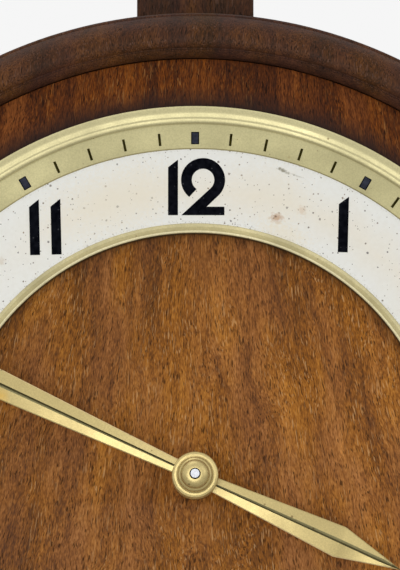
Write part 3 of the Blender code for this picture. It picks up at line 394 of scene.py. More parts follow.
# %% Brass effect
SPOTLESS = 0.93
brass_tree, given, out = effect("tarnish", {"Vector": None, "Spot Size": 700.0}, ["Cloud", "Spot", "Grain"])
spots = signals(add("ShaderNodeTexVoronoi", {"Vector": given["Vector"], "Scale": given["Spot Size"]}))
chance = signals(add("ShaderNodeSeparateColor", {"Color": spots["Color"]}))
size = calc("GREATER_THAN", chance["Red"], SPOTLESS) * chance["Green"]
feed(out, {"Cloud": noise(given["Vector"], 55.0, 4.0, 0.6),
           "Spot": calc("LESS_THAN", spots["Distance"], size * 0.28),
           "Grain": noise(given["Vector"], 2600.0, 2.0)})
print("brass effect ready")

# %% Brass finishes
SPOT_BROWN = shade(96, 72, 38)
TRACK_STAIN = (25.1, 86.0, 0.7, (148, 128, 72))
# A painted reflection: a warm orange glint near the far end of the minute hand.
HAND_GLINT = (-51.2, 20.9, 2.0, (214, 168, 66))


def stained(place, base, x, z, reach, colour):
    """A ragged patch of colour of a given reach, in millimetres, about a point of the dial: a real stain on
    the track, a painted reflection on the minute hand.
    """
    away = vectors("DISTANCE", {0: from_axis(place)[0], 1: (x * MM, z * MM, 0)}, 1)
    away = away + noise(place, 500.0, 3.0) * 0.0015
    return tint(span(away, 0.3 * reach * MM, 1.6 * reach * MM, 0.7, 0.0), base, shade(*colour))


def brass(name, colour, gloss, clouded, metallic, texture, lathe=False, colour_mark=None):
    material, place = finish(name, metallic=metallic)
    marks = place_effect(brass_tree, {"Vector": place})
    base = tint(span(marks["Cloud"], 0.32, 0.70), scaled(colour, 1 - 0.16 * clouded),
                scaled(colour, 1 + 0.06 * clouded))
    base = tint(span(marks["Grain"], 0.3, 0.7, 0.0, 0.50), base, scaled(colour, 0.82))
    base = tint(marks["Spot"] * 0.6, base, SPOT_BROWN)
    # A mark of colour: a real stain on the track, a painted reflection on the hand.
    if colour_mark:
        base = stained(place, base, *colour_mark)
    height = marks["Grain"]
    if lathe:
        height = height * 0.5 + noise(joined(X=from_axis(place)[1]), 5200.0, 2.0)
    rough = span(marks["Cloud"], 0.3, 0.7, gloss + 0.10, gloss - 0.05)
    return surface(material, base, height, texture, 0.00008, Roughness=rough)


BRASS_TRACK = brass("brass_minute_track", (192, 184, 138), 0.55, 0.3, 0.55, 0.10, colour_mark=TRACK_STAIN)
BRASS_ROLL = brass("brass_bezel_roll", (203, 194, 147), 0.39, 0.4, 0.70, 0.06, True)
BRASS_RIM = brass("brass_inner_rim", (204, 193, 148), 0.55, 0.8, 0.5, 0.12, True)
BRASS_HOLLOW = brass("brass_rim_hollow", (190, 178, 131), 0.58, 0.8, 0.5, 0.12, True)
# Dirt and painted shade: a darker brass for the step beside the white, the groove of the bezel and one wall
# of the groove of each hand.
BRASS_DIRT_AND_SHADE_LINE = brass("brass_turned_line", (172, 162, 115), 0.58, 0.6, 0.5, 0.12, True)
# Painted highlight: the inner edge of the rim is a paler brass where light catches it.
BRASS_EDGE_HIGHLIGHT = brass("brass_rim_edge", (220, 210, 168), 0.52, 0.3, 0.5, 0.06, True)
# The hand brass carries the painted reflection, a warm glint on the minute hand.
BRASS_HAND = brass("brass_hand", (208, 188, 128), 0.36, 0.5, 0.66, 0.10, colour_mark=HAND_GLINT)
# Painted highlight: a paler brass on one edge chamfer of each hand.
BRASS_LIP_HIGHLIGHT = brass("brass_hand_lip", (230, 206, 152), 0.50, 0.3, 0.5, 0.06)
BRASS_GROOVE = brass("brass_groove", (82, 74, 36), 0.55, 0.5, 0.4, 0.10)
BRASS_TRIM = brass("brass_trim", (208, 182, 110), 0.24, 0.7, 1.0, 0.05)
BRASS_WORKS = brass("brass_movement", (206, 176, 104), 0.34, 0.6, 1.0, 0.10)
print("brass in", len([m for m in bpy.data.materials if m.name.startswith("brass")]), "finishes")

# %% [markdown]
# ## White paint
# The white of the dial has yellowed to cream in the middle of the ring, is cooler at both edges and at the
# far left, and carries hundreds of tiny brown and grey specks and a few stains. The specks are Voronoi
# cells of which only some are chosen, each with its own size. The stains are distances to points on the
# dial with ragged edges.

# %% Specks
speck_tree, given, out = effect("specks", {"Vector": None, "Scale": 420.0, "Share": 0.25, "Size": 0.16},
                                ["Mask", "Hue"])
cells = signals(add("ShaderNodeTexVoronoi", {"Vector": given["Vector"], "Scale": given["Scale"]},
                    voronoi_dimensions="2D"))
chance = signals(add("ShaderNodeSeparateColor", {"Color": cells["Color"]}))
reach = calc("LESS_THAN", chance["Red"], given["Share"]) * given["Size"] * (chance["Green"] + 0.35)
ragged = cells["Distance"] + noise(given["Vector"], 4200.0) * 0.20
feed(out, {"Mask": span(reach + 0.10 - ragged, 0.0, 0.04), "Hue": chance["Blue"]})
print("speck effect ready")

# %% Aged white
CREAM_R = 0.0772
# Cells to the metre, share of cells with a speck, and size.
SPECKS = ((330.0, 0.22, 0.095), (760.0, 0.11, 0.15), (1500.0, 0.06, 0.20))
# Place, length and width in millimetres, lean in degrees, strength and colour.
STAINS = (
    (-21.0, 74.5, 17.0, 9.0, 16, 0.50, (231, 222, 200)), (19.0, 76.0, 12.0, 8.0, -14, 0.35, (230, 221, 200)),
    (21.9, 69.6, 1.6, 1.3, 0, 0.75, (184, 142, 100)), (21.6, 70.0, 0.35, 0.3, 0, 0.8, (96, 70, 46)),
    (23.6, 82.4, 1.7, 0.45, -28, 0.80, (112, 106, 78)), (27.2, 81.0, 2.2, 0.25, -20, 0.35, (150, 144, 120)),
    (-52.0, 58.0, 1.1, 1.1, 0, 0.40, (196, 176, 148)), (28.6, 71.6, 1.0, 1.4, 0, 0.45, (206, 178, 146)),
    (24.0, 65.2, 7.0, 2.6, -20, 0.45, (230, 218, 190)))
WHITE, place = finish("aged_white_paint", 0.42, coat=0.05)
flat, radius = from_axis(place)
from_cream = calc("ABSOLUTE", radius - CREAM_R) + noise(place, 110.0, 4.0, 0.6) * 0.011
cream = span(from_cream, 0.0045, 0.0140, 1.0, 0.0) * span(axes_of(flat)["X"], -0.056, -0.034, 0.1, 1.0)
colour = tint(cream, shade(231, 231, 225), shade(231, 225, 210))
colour = tint(span(noise(place, 900.0, 3.0), 0.40, 0.75, 0.0, 0.16), colour, shade(208, 202, 186))
for scale, share, size in SPECKS:
    specks = place_effect(speck_tree, {"Vector": flat, "Scale": scale, "Share": share, "Size": size})
    speck_colour = tint(specks["Hue"], shade(124, 98, 68), shade(66, 62, 64))
    colour = tint(specks["Mask"] * 0.85, colour, speck_colour)
edge = calc("MINIMUM", R_WHITE - radius, radius - R_RIM)
dirt = span(edge, 0.0001, 0.0011, 0.6, 0.0) * span(noise(place, 2200.0, 2.0), 0.56, 0.72)
colour = tint(dirt, colour, shade(128, 116, 92))
ragged = (noise(place, 1300.0, 3.0) - 0.5) * 2.2
for x, z, length, width, lean, strength, colour_mark in STAINS:
    spot = node("ShaderNodeMapping", {
        "Vector": flat, "Location": (x * MM, z * MM, 0), "Rotation": (0, 0, radians(lean)),
        "Scale": (length * MM, width * MM, 1)}, vector_type="TEXTURE")
    away = vectors("LENGTH", {0: spot}, 1) + ragged
    colour = tint(span(away, 0.4, 1.3, strength, 0.0), colour, shade(*colour_mark))
surface(WHITE, colour, noise(place, 700.0, 3.0), 0.10, 0.0001)
print("white with", len(STAINS), "stains")

# %% [markdown]
# ## Dark paint, steel and glass
# The numerals and marks are flat dark paint, a little uneven, with a few pale chips. Steel shares the
# clouds and spots of brass, and its grain makes it more or less shiny. Old glass is not quite flat, so a
# slow noise bends what is seen in it.

# %% Paint, steel and glass
def dial_paint(name, colour, worn, mottle):
    material, place = finish(name, 0.7, specular=0.02)
    chips = place_effect(speck_tree, {"Vector": from_axis(place)[0], "Scale": 900.0, "Share": 0.10,
                                      "Size": 0.16})
    base = tint(span(noise(place, 800.0, 3.0), 0.35, 0.7), shade(*colour),
                shade(*[c * 1.35 + mottle for c in colour]))
    base = tint(chips["Mask"] * worn, base, shade(120, 118, 124))
    return surface(material, base, noise(place, 1200.0, 2.0), 0.08, 0.0001)


BLACK_PAINT = dial_paint("numeral_paint", (3, 4, 9), 0.25, 14)
TICK_PAINT = dial_paint("tick_paint", (37, 33, 10), 0.4, 4)
SLATE_PAINT = dial_paint("slate_block_paint", (40, 42, 51), 0.4, 4)

STEEL, place = finish("drawn_steel", metallic=1.0)
marks = place_effect(brass_tree, {"Vector": place, "Spot Size": 900.0})
colour = tint(span(marks["Cloud"], 0.3, 0.7), shade(128, 130, 134), shade(176, 178, 182))
colour = tint(marks["Spot"] * 0.5, colour, shade(96, 78, 62))
surface(STEEL, colour, marks["Grain"], 0.06, 0.00005, Roughness=span(marks["Grain"], 0.3, 0.7, 0.26, 0.40))

GLASS, place = finish("old_glass")
feed(GLASS.node_tree.nodes[SHADER], {"Transmission Weight": 1.0, "IOR": 1.25})
surface(GLASS, shade(244, 249, 246), noise(place, 22.0, 1.0), 0.03, 0.0004,
        Roughness=span(noise(place, 60.0, 5.0, 0.7), 0.45, 0.85, 0.0, 0.04))
print("finishes:", sorted(m.name for m in bpy.data.materials))

# %% [markdown]
# ## Ways to make a mesh
# A clock case and dial are mostly lathe work and boards. A lathe piece is a profile of radius and height
# that is turned about an axis. A board is a copy of its solid with its flat faces joined again and its
# edges rounded, the way a plane and sandpaper leave them. A finished piece keeps its place in its mesh.

# %% Lathe work
WELD = 0.000001
RING_STEPS = 256


def as_mesh(bm):
    """A plain mesh without slivers, with its faces pointing out."""
    bmesh.ops.remove_doubles(bm, verts=bm.verts, dist=WELD)
    bmesh.ops.dissolve_degenerate(bm, edges=bm.edges, dist=WELD)
    bmesh.ops.recalc_face_normals(bm, faces=bm.faces)
    mesh = bpy.data.meshes.new("mesh")
    bm.to_mesh(mesh)
    bm.free()
    return mesh


def circle(steps):
    """Angles round a circle."""
    return [2 * pi * k / steps for k in range(steps)]


def lofted(rings, closed=False, material=lambda k: 0):
    """Faces between rings of points, closed to the first ring or with flat ends; one point makes a tip."""
    bm = bmesh.new()
    rings = [[bm.verts.new(point) for point in points] for points in rings]
    for near, far in zip(rings, rings[1:] + rings[:1] if closed else rings[1:]):
        steps = max(len(near), len(far))
        for k in range(steps):
            n = (k + 1) % steps
            corners = [near[k % len(near)], near[n % len(near)], far[n % len(far)], far[k % len(far)]]
            corners = list(dict.fromkeys(corners))
            if len(corners) > 2:
                bm.faces.new(corners).material_index = material(k)
    if not closed:
        bm.faces.new(rings[0])
        bm.faces.new(rings[-1])
    return as_mesh(bm)


def out_from(x, y, z):
    """A placing function: across, up, and out to the front from a point."""
    return lambda u, v, height: (x + u, y - height, z + v)


def up_from(x, y, z):
    """A placing function: across, back, and up from a point."""
    return lambda u, v, height: (x + u, y + v, z + height)


on_dial = out_from(0, PANEL_Y, 0)


def turned(profile, steps, place=on_dial):
    """Turn closed (radius, height) points round the axis of a placing function."""
    return lofted([[place(radius * cos(a), radius * sin(a), height)
                    for a in circle(steps if radius > 0 else 1)] for radius, height in profile], True)


def in_mm(points, outward=0.0, upward=0.0):
    """Profile points written in millimetres, from a radius and a height in metres."""
    return [(outward + x * MM, upward + y * MM) for x, y in points]


print("lathe helpers ready")

# %% Boards and finished pieces
def softened(solid, width, segments, angle=40):
    """A copy of a solid as one joined mesh with rounded edges."""
    bm = bmesh.new()
    bm.from_mesh(NODES[solid].data)
    bmesh.ops.remove_doubles(bm, verts=bm.verts, dist=WELD)
    bmesh.ops.dissolve_limit(bm, angle_limit=radians(1), verts=bm.verts, edges=bm.edges)
    sharp = [e for e in bm.edges if len(e.link_faces) == 2 and e.calc_face_angle() > radians(angle)]
    bmesh.ops.bevel(bm, geom=sharp, offset=width, segments=segments, profile=0.5, affect="EDGES",
                    clamp_overlap=True)
    return as_mesh(bm)


def keep(name, mesh, finishes, body, slot, *nodes, crease=35):
    """A piece with one finish or a tuple of them, that rides on a body and stands for its solids."""
    mesh.name = name
    if not isinstance(finishes, tuple):
        mesh.materials.clear()
        finishes = (finishes,)
    for material in finishes:
        mesh.materials.append(material)
    mesh.shade_smooth()
    mesh.set_sharp_from_angle(angle=radians(crease))
    piece = holder(mesh, name)
    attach(piece, body)
    if nodes:
        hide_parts(*nodes)
    print(name, "-", len(mesh.polygons), "faces on", body)
    return piece


def eased(name, solid, width, segments, material, body, slot):
    """A copy of a solid with its edges rounded by a width in millimetres, as a finished piece."""
    keep(name, softened(solid, width * MM, segments), material, body, slot, solid)


def center(solid):
    low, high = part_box(solid)
    return (low + high) / 2


def half_size(solid):
    low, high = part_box(solid)
    return (high - low) / 2


print("board helpers ready")

# %% Cutters
def plain(obj):
    """The mesh of an object with its modifiers or curve settings worked in; the object goes."""
    bpy.context.view_layer.update()
    graph = bpy.context.evaluated_depsgraph_get()
    mesh = bpy.data.meshes.new_from_object(obj.evaluated_get(graph))
    bpy.data.objects.remove(obj)
    return mesh


def cut(mesh, tool, how="DIFFERENCE"):
    """The first mesh without the second, or both as one where they are joined by UNION."""
    work, cutter = holder(mesh), holder(tool)
    boolean = work.modifiers.new("cut", "BOOLEAN")
    boolean.operation = how
    boolean.solver = "EXACT"
    boolean.object = cutter
    bm = bmesh.new()
    bm.from_mesh(plain(work))
    bpy.data.objects.remove(cutter)
    return as_mesh(bm)


def bar(low, high):
    """A plain block between two corners, used as a cutter."""
    bm = bmesh.new()
    bmesh.ops.create_cube(bm, size=1.0)
    middle, size = (Vector(low) + Vector(high)) / 2, Vector(high) - Vector(low)
    for vert in bm.verts:
        vert.co = middle + Vector([a * b for a, b in zip(vert.co, size)])
    return as_mesh(bm)


print("cutting helpers ready")

# %% Plates
def sheet(outlines, back, front, bevel=0.0):
    """A flat plate with holes, from outlines of (across, up) points, between two heights over the panel."""
    curve = bpy.data.curves.new("sheet", "CURVE")
    curve.dimensions = "2D"
    curve.fill_mode = "BOTH"
    curve.extrude = (front - back) / 2 - bevel
    curve.bevel_depth = bevel
    curve.bevel_resolution = 1
    curve.offset = -bevel
    for points in outlines:
        spline = curve.splines.new("POLY")
        spline.points.add(len(points) - 1)
        spline.use_cyclic_u = True
        for point, (x, y) in zip(spline.points, points):
            point.co = (x, y, 0, 1)
    bm = bmesh.new()
    bm.from_mesh(plain(holder(curve)))
    middle = (front + back) / 2
    for vert in bm.verts:
        vert.co = on_dial(vert.co.x, vert.co.y, middle + vert.co.z)
    return as_mesh(bm)


def together(meshes):
    """Several meshes as one."""
    bm = bmesh.new()
    for mesh in meshes:
        bm.from_mesh(mesh)
    mesh = bpy.data.meshes.new("together")
    bm.to_mesh(mesh)
    bm.free()
    return mesh


print("plate helpers ready")

# %% [markdown]
# ## The wooden head
# The dial panel is a flat disc of walnut with a hole for the hands and one for the winding key, which has
# a brass collar. Around it the hoop carries a rounded moulding. The hoop is turned, then a slot is cut at
# the bottom for the pendulum rod.

# %% Dial panel and key collar
panel_low, panel_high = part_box("dial_panel")
PANEL_R = panel_high.x
PANEL_T = panel_high.y - panel_low.y
KEY_Z = center("barrel_arbor").z
HAND_HOLE, KEY_HOLE = 0.0058, 0.0062


def ring(radius, steps, up=0.0):
    return [(radius * cos(a), up + radius * sin(a)) for a in circle(steps)]


keep("dial_panel_walnut", sheet([ring(PANEL_R, 192), ring(HAND_HOLE, 48), ring(KEY_HOLE, 48, KEY_Z)],
                                -PANEL_T, 0.0, 0.0002), WALNUT, "case", "walnut", "dial_panel")
collar = in_mm([(5.9, -2.0), (5.1, -2.0), (5.1, 0.6), (5.5, 1.1), (6.6, 1.2), (7.6, 0.8), (8.2, 0.1),
                (5.9, 0.1)])
keep("key_hole_collar", turned(collar, 64, out_from(0, PANEL_Y, KEY_Z)), BRASS_TRIM, "case", "brass")

# %% Head hoop
HEAD_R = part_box("head_hoop")[1].x
BACK = PANEL_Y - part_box("head_hoop")[1].y
PLAY = 0.0003
SEAT_R = PANEL_R + PLAY
LIP = HEAD_R - SEAT_R
HOOP_WALL, ROD_ROOM, SWING = 0.019, 0.009, radians(3)
SLOT_DOWN, SLOT_UP = 0.005, 0.031
# Share of the lip, and height over the panel in millimetres.
MOULDING = ((0.0, 1.0), (0.04, 2.2), (0.10, 3.2), (0.14, 3.6), (0.155, 3.3), (0.18, 3.3), (0.20, 4.0),
            (0.28, 4.7), (0.38, 5.0), (0.50, 4.8), (0.62, 4.3), (0.72, 3.5), (0.80, 2.5), (0.86, 1.3),
            (0.90, 0.6), (0.915, 0.0), (0.95, -0.1), (0.985, -0.8), (1.0, -2.0), (1.0, -4.0))
hoop = [(SEAT_R + share * LIP, height * MM) for share, height in MOULDING]
hoop += [(HEAD_R, BACK + 0.0006), (HEAD_R - 0.0006, BACK), (HEAD_R - HOOP_WALL, BACK),
         (HEAD_R - HOOP_WALL, -PANEL_T - PLAY), (SEAT_R, -PANEL_T - PLAY)]
slot_half = (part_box("pallets")[1].z + HEAD_R) * tan(SWING) + ROD_ROOM
rod_y = center("pendulum_rod").y
hoop_slot = bar((-slot_half, rod_y - ROD_ROOM, -HEAD_R - SLOT_DOWN),
                (slot_half, rod_y + ROD_ROOM, -HEAD_R + SLOT_UP))
keep("head_hoop_walnut", cut(turned(hoop, RING_STEPS), hoop_slot), WALNUT_DARK, "case", "walnut", "head_hoop",
     crease=50)

# %% [markdown]
# ## Brass and white rings
# The minute ring has a flat matte track and, outside it, a groove, a small bead and a large polished roll.
# The white chapter ring lies inside it, and a narrow brass rim edges the wood in the middle. The profiles
# come from the widths in the photograph. A brass ring takes several finishes, one for each stretch of its
# profile. The inner edge of the rim is a paler brass as a painted highlight. The step beside the white and
# the groove of the bezel are a darker brass, with dirt and painted shade, and the inner wall of the rim is
# as dark as the dirt and painted shade in its corner.

# %% Dial rings
R_TRACK = BEZEL_R * 0.952
TRACK_H, WHITE_H, FOOT_H = 0.0025, 0.0022, 0.0003
# Distance out from the track or the wood, and height over the panel, in millimetres.
BEZEL = ((-1.0, 2.50), (-0.46, 2.50), (-0.28, 2.46), (-0.16, 2.41), (-0.05, 2.41), (0.08, 2.50), (0.20, 2.61),
         (0.34, 2.70), (0.50, 2.765), (0.68, 2.82), (0.85, 2.86), (1.00, 2.89), (1.16, 2.91), (1.26, 2.905),
         (1.38, 2.87), (1.54, 2.82), (1.68, 2.805), (1.80, 2.815), (2.00, 2.85), (2.22, 2.89), (2.45, 2.93),
         (2.62, 2.955), (2.74, 2.96), (2.90, 2.955), (3.12, 2.935), (3.36, 2.89), (3.62, 2.825), (3.90, 2.76),
         (4.20, 2.705), (4.40, 2.69), (4.53, 2.69), (4.60, 2.66), (4.64, 2.58), (4.66, 2.45), (4.66, 1.0),
         (4.80, 0.9))
RIM = ((0.0, 0.3), (0.0, 2.15), (0.06, 2.30), (0.18, 2.38), (0.42, 2.44), (0.62, 2.46), (0.72, 2.43),
       (0.95, 2.36), (1.30, 2.33), (1.70, 2.36), (2.05, 2.44), (2.30, 2.50), (2.45, 2.49), (2.57, 2.36),
       (2.60, 2.0), (2.60, 0.3))


def dial_ring(name, solid, profile, inner, finishes, choose):
    """A turned ring whose faces choose a finish by their distance out from a radius."""
    mesh = turned(profile, RING_STEPS)
    for face in mesh.polygons:
        face.material_index = choose(Vector((face.center.x, face.center.z)).length - inner)
    keep(name, mesh, finishes, "case", "brass", solid, crease=50)


inner_lip = [(R_WHITE + 0.0003, FOOT_H), (R_WHITE + 0.0003, WHITE_H + 0.00002),
             (R_WHITE - 0.0002, WHITE_H + 0.00002), (R_WHITE - 0.0001, TRACK_H - 0.0001),
             (R_WHITE + 0.0001, TRACK_H)]
# The inner lip beside the white and the groove before the bead take the darker line brass: dirt and painted
# shade.
dial_ring("minute_ring_brass", "minute_ring", inner_lip + in_mm(BEZEL, R_TRACK) + [(BEZEL_R, FOOT_H)],
          R_TRACK, (BRASS_TRACK, BRASS_DIRT_AND_SHADE_LINE, BRASS_ROLL),
          lambda out: int(out > -0.0003 or out < R_WHITE - R_TRACK) + int(out > 0.00005))
white = [(R_RIM - 0.0003, FOOT_H), (R_RIM - 0.0003, WHITE_H), (R_WHITE + 0.0001, WHITE_H),
         (R_WHITE + 0.0002, WHITE_H - 0.0001), (R_WHITE + 0.0002, FOOT_H)]
keep("chapter_ring_white", turned(white, RING_STEPS), WHITE, "case", "white_enamel", "chapter_ring")
# The inner edge takes a paler brass as a painted highlight, the hollow a darker patina, and the inner wall
# against the wood the dark groove brass as dirt and painted shade.
dial_ring("inner_rim_brass", "inner_rim", in_mm(RIM, R_WOOD), R_WOOD,
          (BRASS_EDGE_HIGHLIGHT, BRASS_HOLLOW, BRASS_RIM, BRASS_GROOVE),
          lambda out: int(out > 0.0006) + int(out > 0.0018) if out > 0.00001 else 3)

# %% [markdown]
# ## Minute marks
# Sixty marks stand round the track: thin dark strokes for the minutes, and broad blocks at each five, dark
# at the edge and slate grey inside. They follow one rule, so a Geometry Nodes tree sets a small bar on
# points of a circle, turned to face the center. The same tree is baked three times with other sizes.

# %% Trees of geometry nodes
def nodes_tree(name, inputs):
    tree = bpy.data.node_groups.new(name, "GeometryNodeTree")
    tree.interface.new_socket("Geometry", in_out="INPUT", socket_type="NodeSocketGeometry")
    keys = {}
    for label, kind in inputs.items():
        made = tree.interface.new_socket(label, in_out="INPUT", socket_type="NodeSocket" + kind)
        keys[label] = made.identifier
    tree.interface.new_socket("Geometry", in_out="OUTPUT", socket_type="NodeSocketGeometry")
    return tree, keys, signals(tree.nodes.new("NodeGroupInput")), tree.nodes.new("NodeGroupOutput")


def end_tree(out, instances, material):
    real = node("GeometryNodeRealizeInstances", {"Geometry": instances})
    feed(out, {0: node("GeometryNodeSetMaterial", {"Geometry": real, "Material": material})})


def bake(tree, keys, base=None, **values):
    work = holder(base or bpy.data.meshes.new("base"))
    modifier = work.modifiers.new("nodes", "NODES")
    modifier.node_group = tree
    for label, value in values.items():
        modifier[keys[label.replace("_", " ")]] = value
    return plain(work)


print("tree helpers ready")

# %% Marks from one tree
marks_tree, marks_keys, given, out = nodes_tree("marks_round_dial", {
    "Count": "Int", "Skip Every": "Int", "First": "Int", "Radius": "Float", "Front": "Float",
    "Width": "Float", "Length": "Float", "Thickness": "Float", "Finish": "Material"})
index = Signal(marks_tree.nodes.new("GeometryNodeInputIndex").outputs[0])
turn = calc("DIVIDE", index, given["Count"]) * (2 * pi)
spot = joined(X=calc("SINE", turn) * given["Radius"], Y=given["Front"],
              Z=calc("COSINE", turn) * given["Radius"])
shown = calc("MODULO", index + given["First"], given["Skip Every"])
size = joined(X=given["Width"], Y=given["Thickness"], Z=given["Length"])
end_tree(out, node("GeometryNodeInstanceOnPoints", {
    "Points": node("GeometryNodePoints", {"Count": given["Count"], "Position": spot}),
    "Selection": calc("GREATER_THAN", shown, 0.5), "Instance": node("GeometryNodeMeshCube", {"Size": size}),
    "Rotation": node("FunctionNodeEulerToRotation", {0: joined(Y=turn)})}), given["Finish"])

MARK_R, NEVER = 0.09115, 1000
# Paint, how many, which are skipped and from where, then width, length and thickness in millimetres.
MARKS = {"minute_ticks": (TICK_PAINT, 60, 5, 0, 0.68, 3.3, 0.10),
         "five_minute_edges": (BLACK_PAINT, 12, NEVER, 1, 2.15, 3.35, 0.12),
         "five_minute_blocks": (SLATE_PAINT, 12, NEVER, 1, 1.60, 2.85, 0.16)}
for name, (paint, count, skip, first, width, length, thick) in MARKS.items():
    mesh = bake(marks_tree, marks_keys, Count=count, Skip_Every=skip, First=first, Radius=MARK_R,
                Front=PANEL_Y - TRACK_H, Width=width * MM, Length=length * MM, Thickness=thick * MM,
                Finish=paint)
    keep(name, mesh, paint, "case", None)

# %% [markdown]
# ## Numerals
# The numerals stand upright in a round, geometric style with strokes of one width. A one is a bar with a
# slanted top, and the two is a ring that runs into a straight diagonal. A numeral could be a text object,
# but no font is at hand that has these shapes, so each is drawn from bars, arcs and ribbons of points, and
# the outlines become thin plates on the white ring. Sizes here are in millimetres, with the middle of the
# height at zero.

# %% Shapes of the numerals
STROKE = 2.72


def arc(center, radius, start, end, steps=36):
    """Points of an arc between two angles in degrees; a smaller end angle runs clockwise."""
    angles = [radians(start + (end - start) * k / steps) for k in range(steps + 1)]
    return [(center[0] + radius * cos(a), center[1] + radius * sin(a)) for a in angles]


def ribbon(points, width=STROKE):
    """The outline of a stroke of one width along a path."""
    left, right = [], []
    for k, (x, y) in enumerate(points):
        near, far = points[max(0, k - 1)], points[min(len(points) - 1, k + 1)]
        dx, dy = far[0] - near[0], far[1] - near[1]
        long = hypot(dx, dy)
        nx, ny = -dy / long * width / 2, dx / long * width / 2
        left.append((x + nx, y + ny))
        right.append((x - nx, y - ny))
    return left + right[::-1]


def band(center, across, up, width=STROKE):
    """A closed oval stroke: outer and inner outline."""
    return [[(center[0] + (across + grow) * cos(a), center[1] + (up + grow) * sin(a))
             for a in circle(64)] for grow in (width / 2, -width / 2)]


def block(x0, y0, x1, y1):
    return [(x0, y0), (x1, y0), (x1, y1), (x0, y1)]


BOWL = (5.81, 2.02)
ONE = [[(0, -7.5), (2.64, -7.5), (2.64, 7.5), (0, 5.45)]]
TWO = [arc(BOWL, 5.90, 231, -46, 60) + [(6.75, -5.22), (11.52, -5.22), (11.52, -7.5), (0, -7.5)]
       + arc(BOWL, 3.02, -46, 235, 60)]
THREE = [ribbon(arc((4.3, 3.55), 2.68, 155, -90)), ribbon(arc((4.4, -2.83), 3.40, 90, -150))]
FOUR = [block(6.3, -7.5, 8.85, 7.5), block(0, -4.4, 11.0, -2.2),
        [(0, -2.2), (0.1, -2.6), (3.0, -2.6), (7.4, 7.5), (6.2, 7.5)]]
FIVE = [block(1.1, 5.3, 9.6, 7.5), ribbon([(2.3, 7.4), (1.7, -0.4)]),
        ribbon(arc((4.6, -2.65), 3.58, 148, -150))]
SIX = band((5.0, -2.75), 3.48, 3.48) + [ribbon([(1.95, -1.1), (7.0, 7.3)])]
SEVEN = [block(0, 5.3, 10.4, 7.5), ribbon([(9.3, 6.6), (3.4, -7.4)])]
EIGHT = band((4.7, 3.55), 2.68, 2.68) + band((4.7, -2.83), 3.40, 3.40)
NINE = [[(10.0 - x, -y) for x, y in shape] for shape in SIX]
NOUGHT = band((4.9, 0.0), 3.65, 6.22)
GLYPHS = [NOUGHT, ONE, TWO, THREE, FOUR, FIVE, SIX, SEVEN, EIGHT, NINE]
HOLED = {0: (0, 1), 6: (0, 1), 9: (0, 1), 8: (0, 1, 2, 3)}
print("glyph outlines:", sum(len(g) for g in GLYPHS))

# %% Numerals on the white ring
NUMERAL_R = 78.3
GAPS = {10: 1.3, 11: 3.12, 12: 0.92}
SET_ONE_BY_ONE = {11: (-40.12, 67.19), 12: (0.39, 77.86), 1: (39.67, 67.87)}


def plate(digit, shift, place):
    """One digit as a plate; the outline and hole of a closed band belong together, and strokes are joined."""
    shapes = [[place(x + shift, y) for x, y in shape] for shape in GLYPHS[digit]]
    pairs = HOLED.get(digit, ())
    outlines = [[shapes[k], shapes[k + 1]] for k in pairs[::2]]
    outlines += [[shape] for k, shape in enumerate(shapes) if k not in pairs]
    made = [sheet(outline, WHITE_H - 0.0001, WHITE_H + 0.00006) for outline in outlines]
    whole = made[0]
    for stroke in made[1:]:
        whole = cut(whole, stroke, "UNION")
    return whole


def numeral(hour):
    """The plates of one numeral, side by side about its place and leaning a little with the ring."""
    digits = [int(c) for c in str(hour)]
    widths = [max(x for shape in GLYPHS[d] for x, y in shape) for d in digits]
    gap = GAPS.get(hour, 0.0)
    half = (sum(widths) + gap) / 2
    angle = radians(30 * hour)
    lean = radians(3) * sin(angle)
    middle = SET_ONE_BY_ONE.get(hour, (NUMERAL_R * sin(angle), NUMERAL_R * cos(angle)))

    def place(x, y):
        x -= half
        return (MM * (middle[0] + x * cos(lean) + y * sin(lean)),
                MM * (middle[1] - x * sin(lean) + y * cos(lean)))

    return [plate(digit, k * (widths[0] + gap), place) for k, digit in enumerate(digits)]


numerals = together([mesh for hour in range(1, 13) for mesh in numeral(hour)])
keep("dial_numerals", numerals, BLACK_PAINT, "case", None)

# %% [markdown]
# ## Hands
# Each hand is a long brass lance that widens away from the hub and then runs to a point. Its front is a
# low roof with two slopes, and a dark groove follows the ridge. A flat plate would lose the two tones of
# the slopes, so the blade is lofted: the same section of ten points is repeated along the length, wider or
# narrower. A turned boss covers the hub.

# %% Shape of a hand
ROOT_HALF, LIP_H, EDGE_H = 0.0017, 0.00055, 0.00035
# Side of the section, and which of the finishes of a hand it takes; the others take the first.
# Side 3, one wall of the groove, is a darker brass as dirt and painted shade.
# Side 7, one edge chamfer, is a paler brass as a painted highlight.
BLADE_FINISHES = {3: 3, 4: 1, 5: 1, 7: 2}


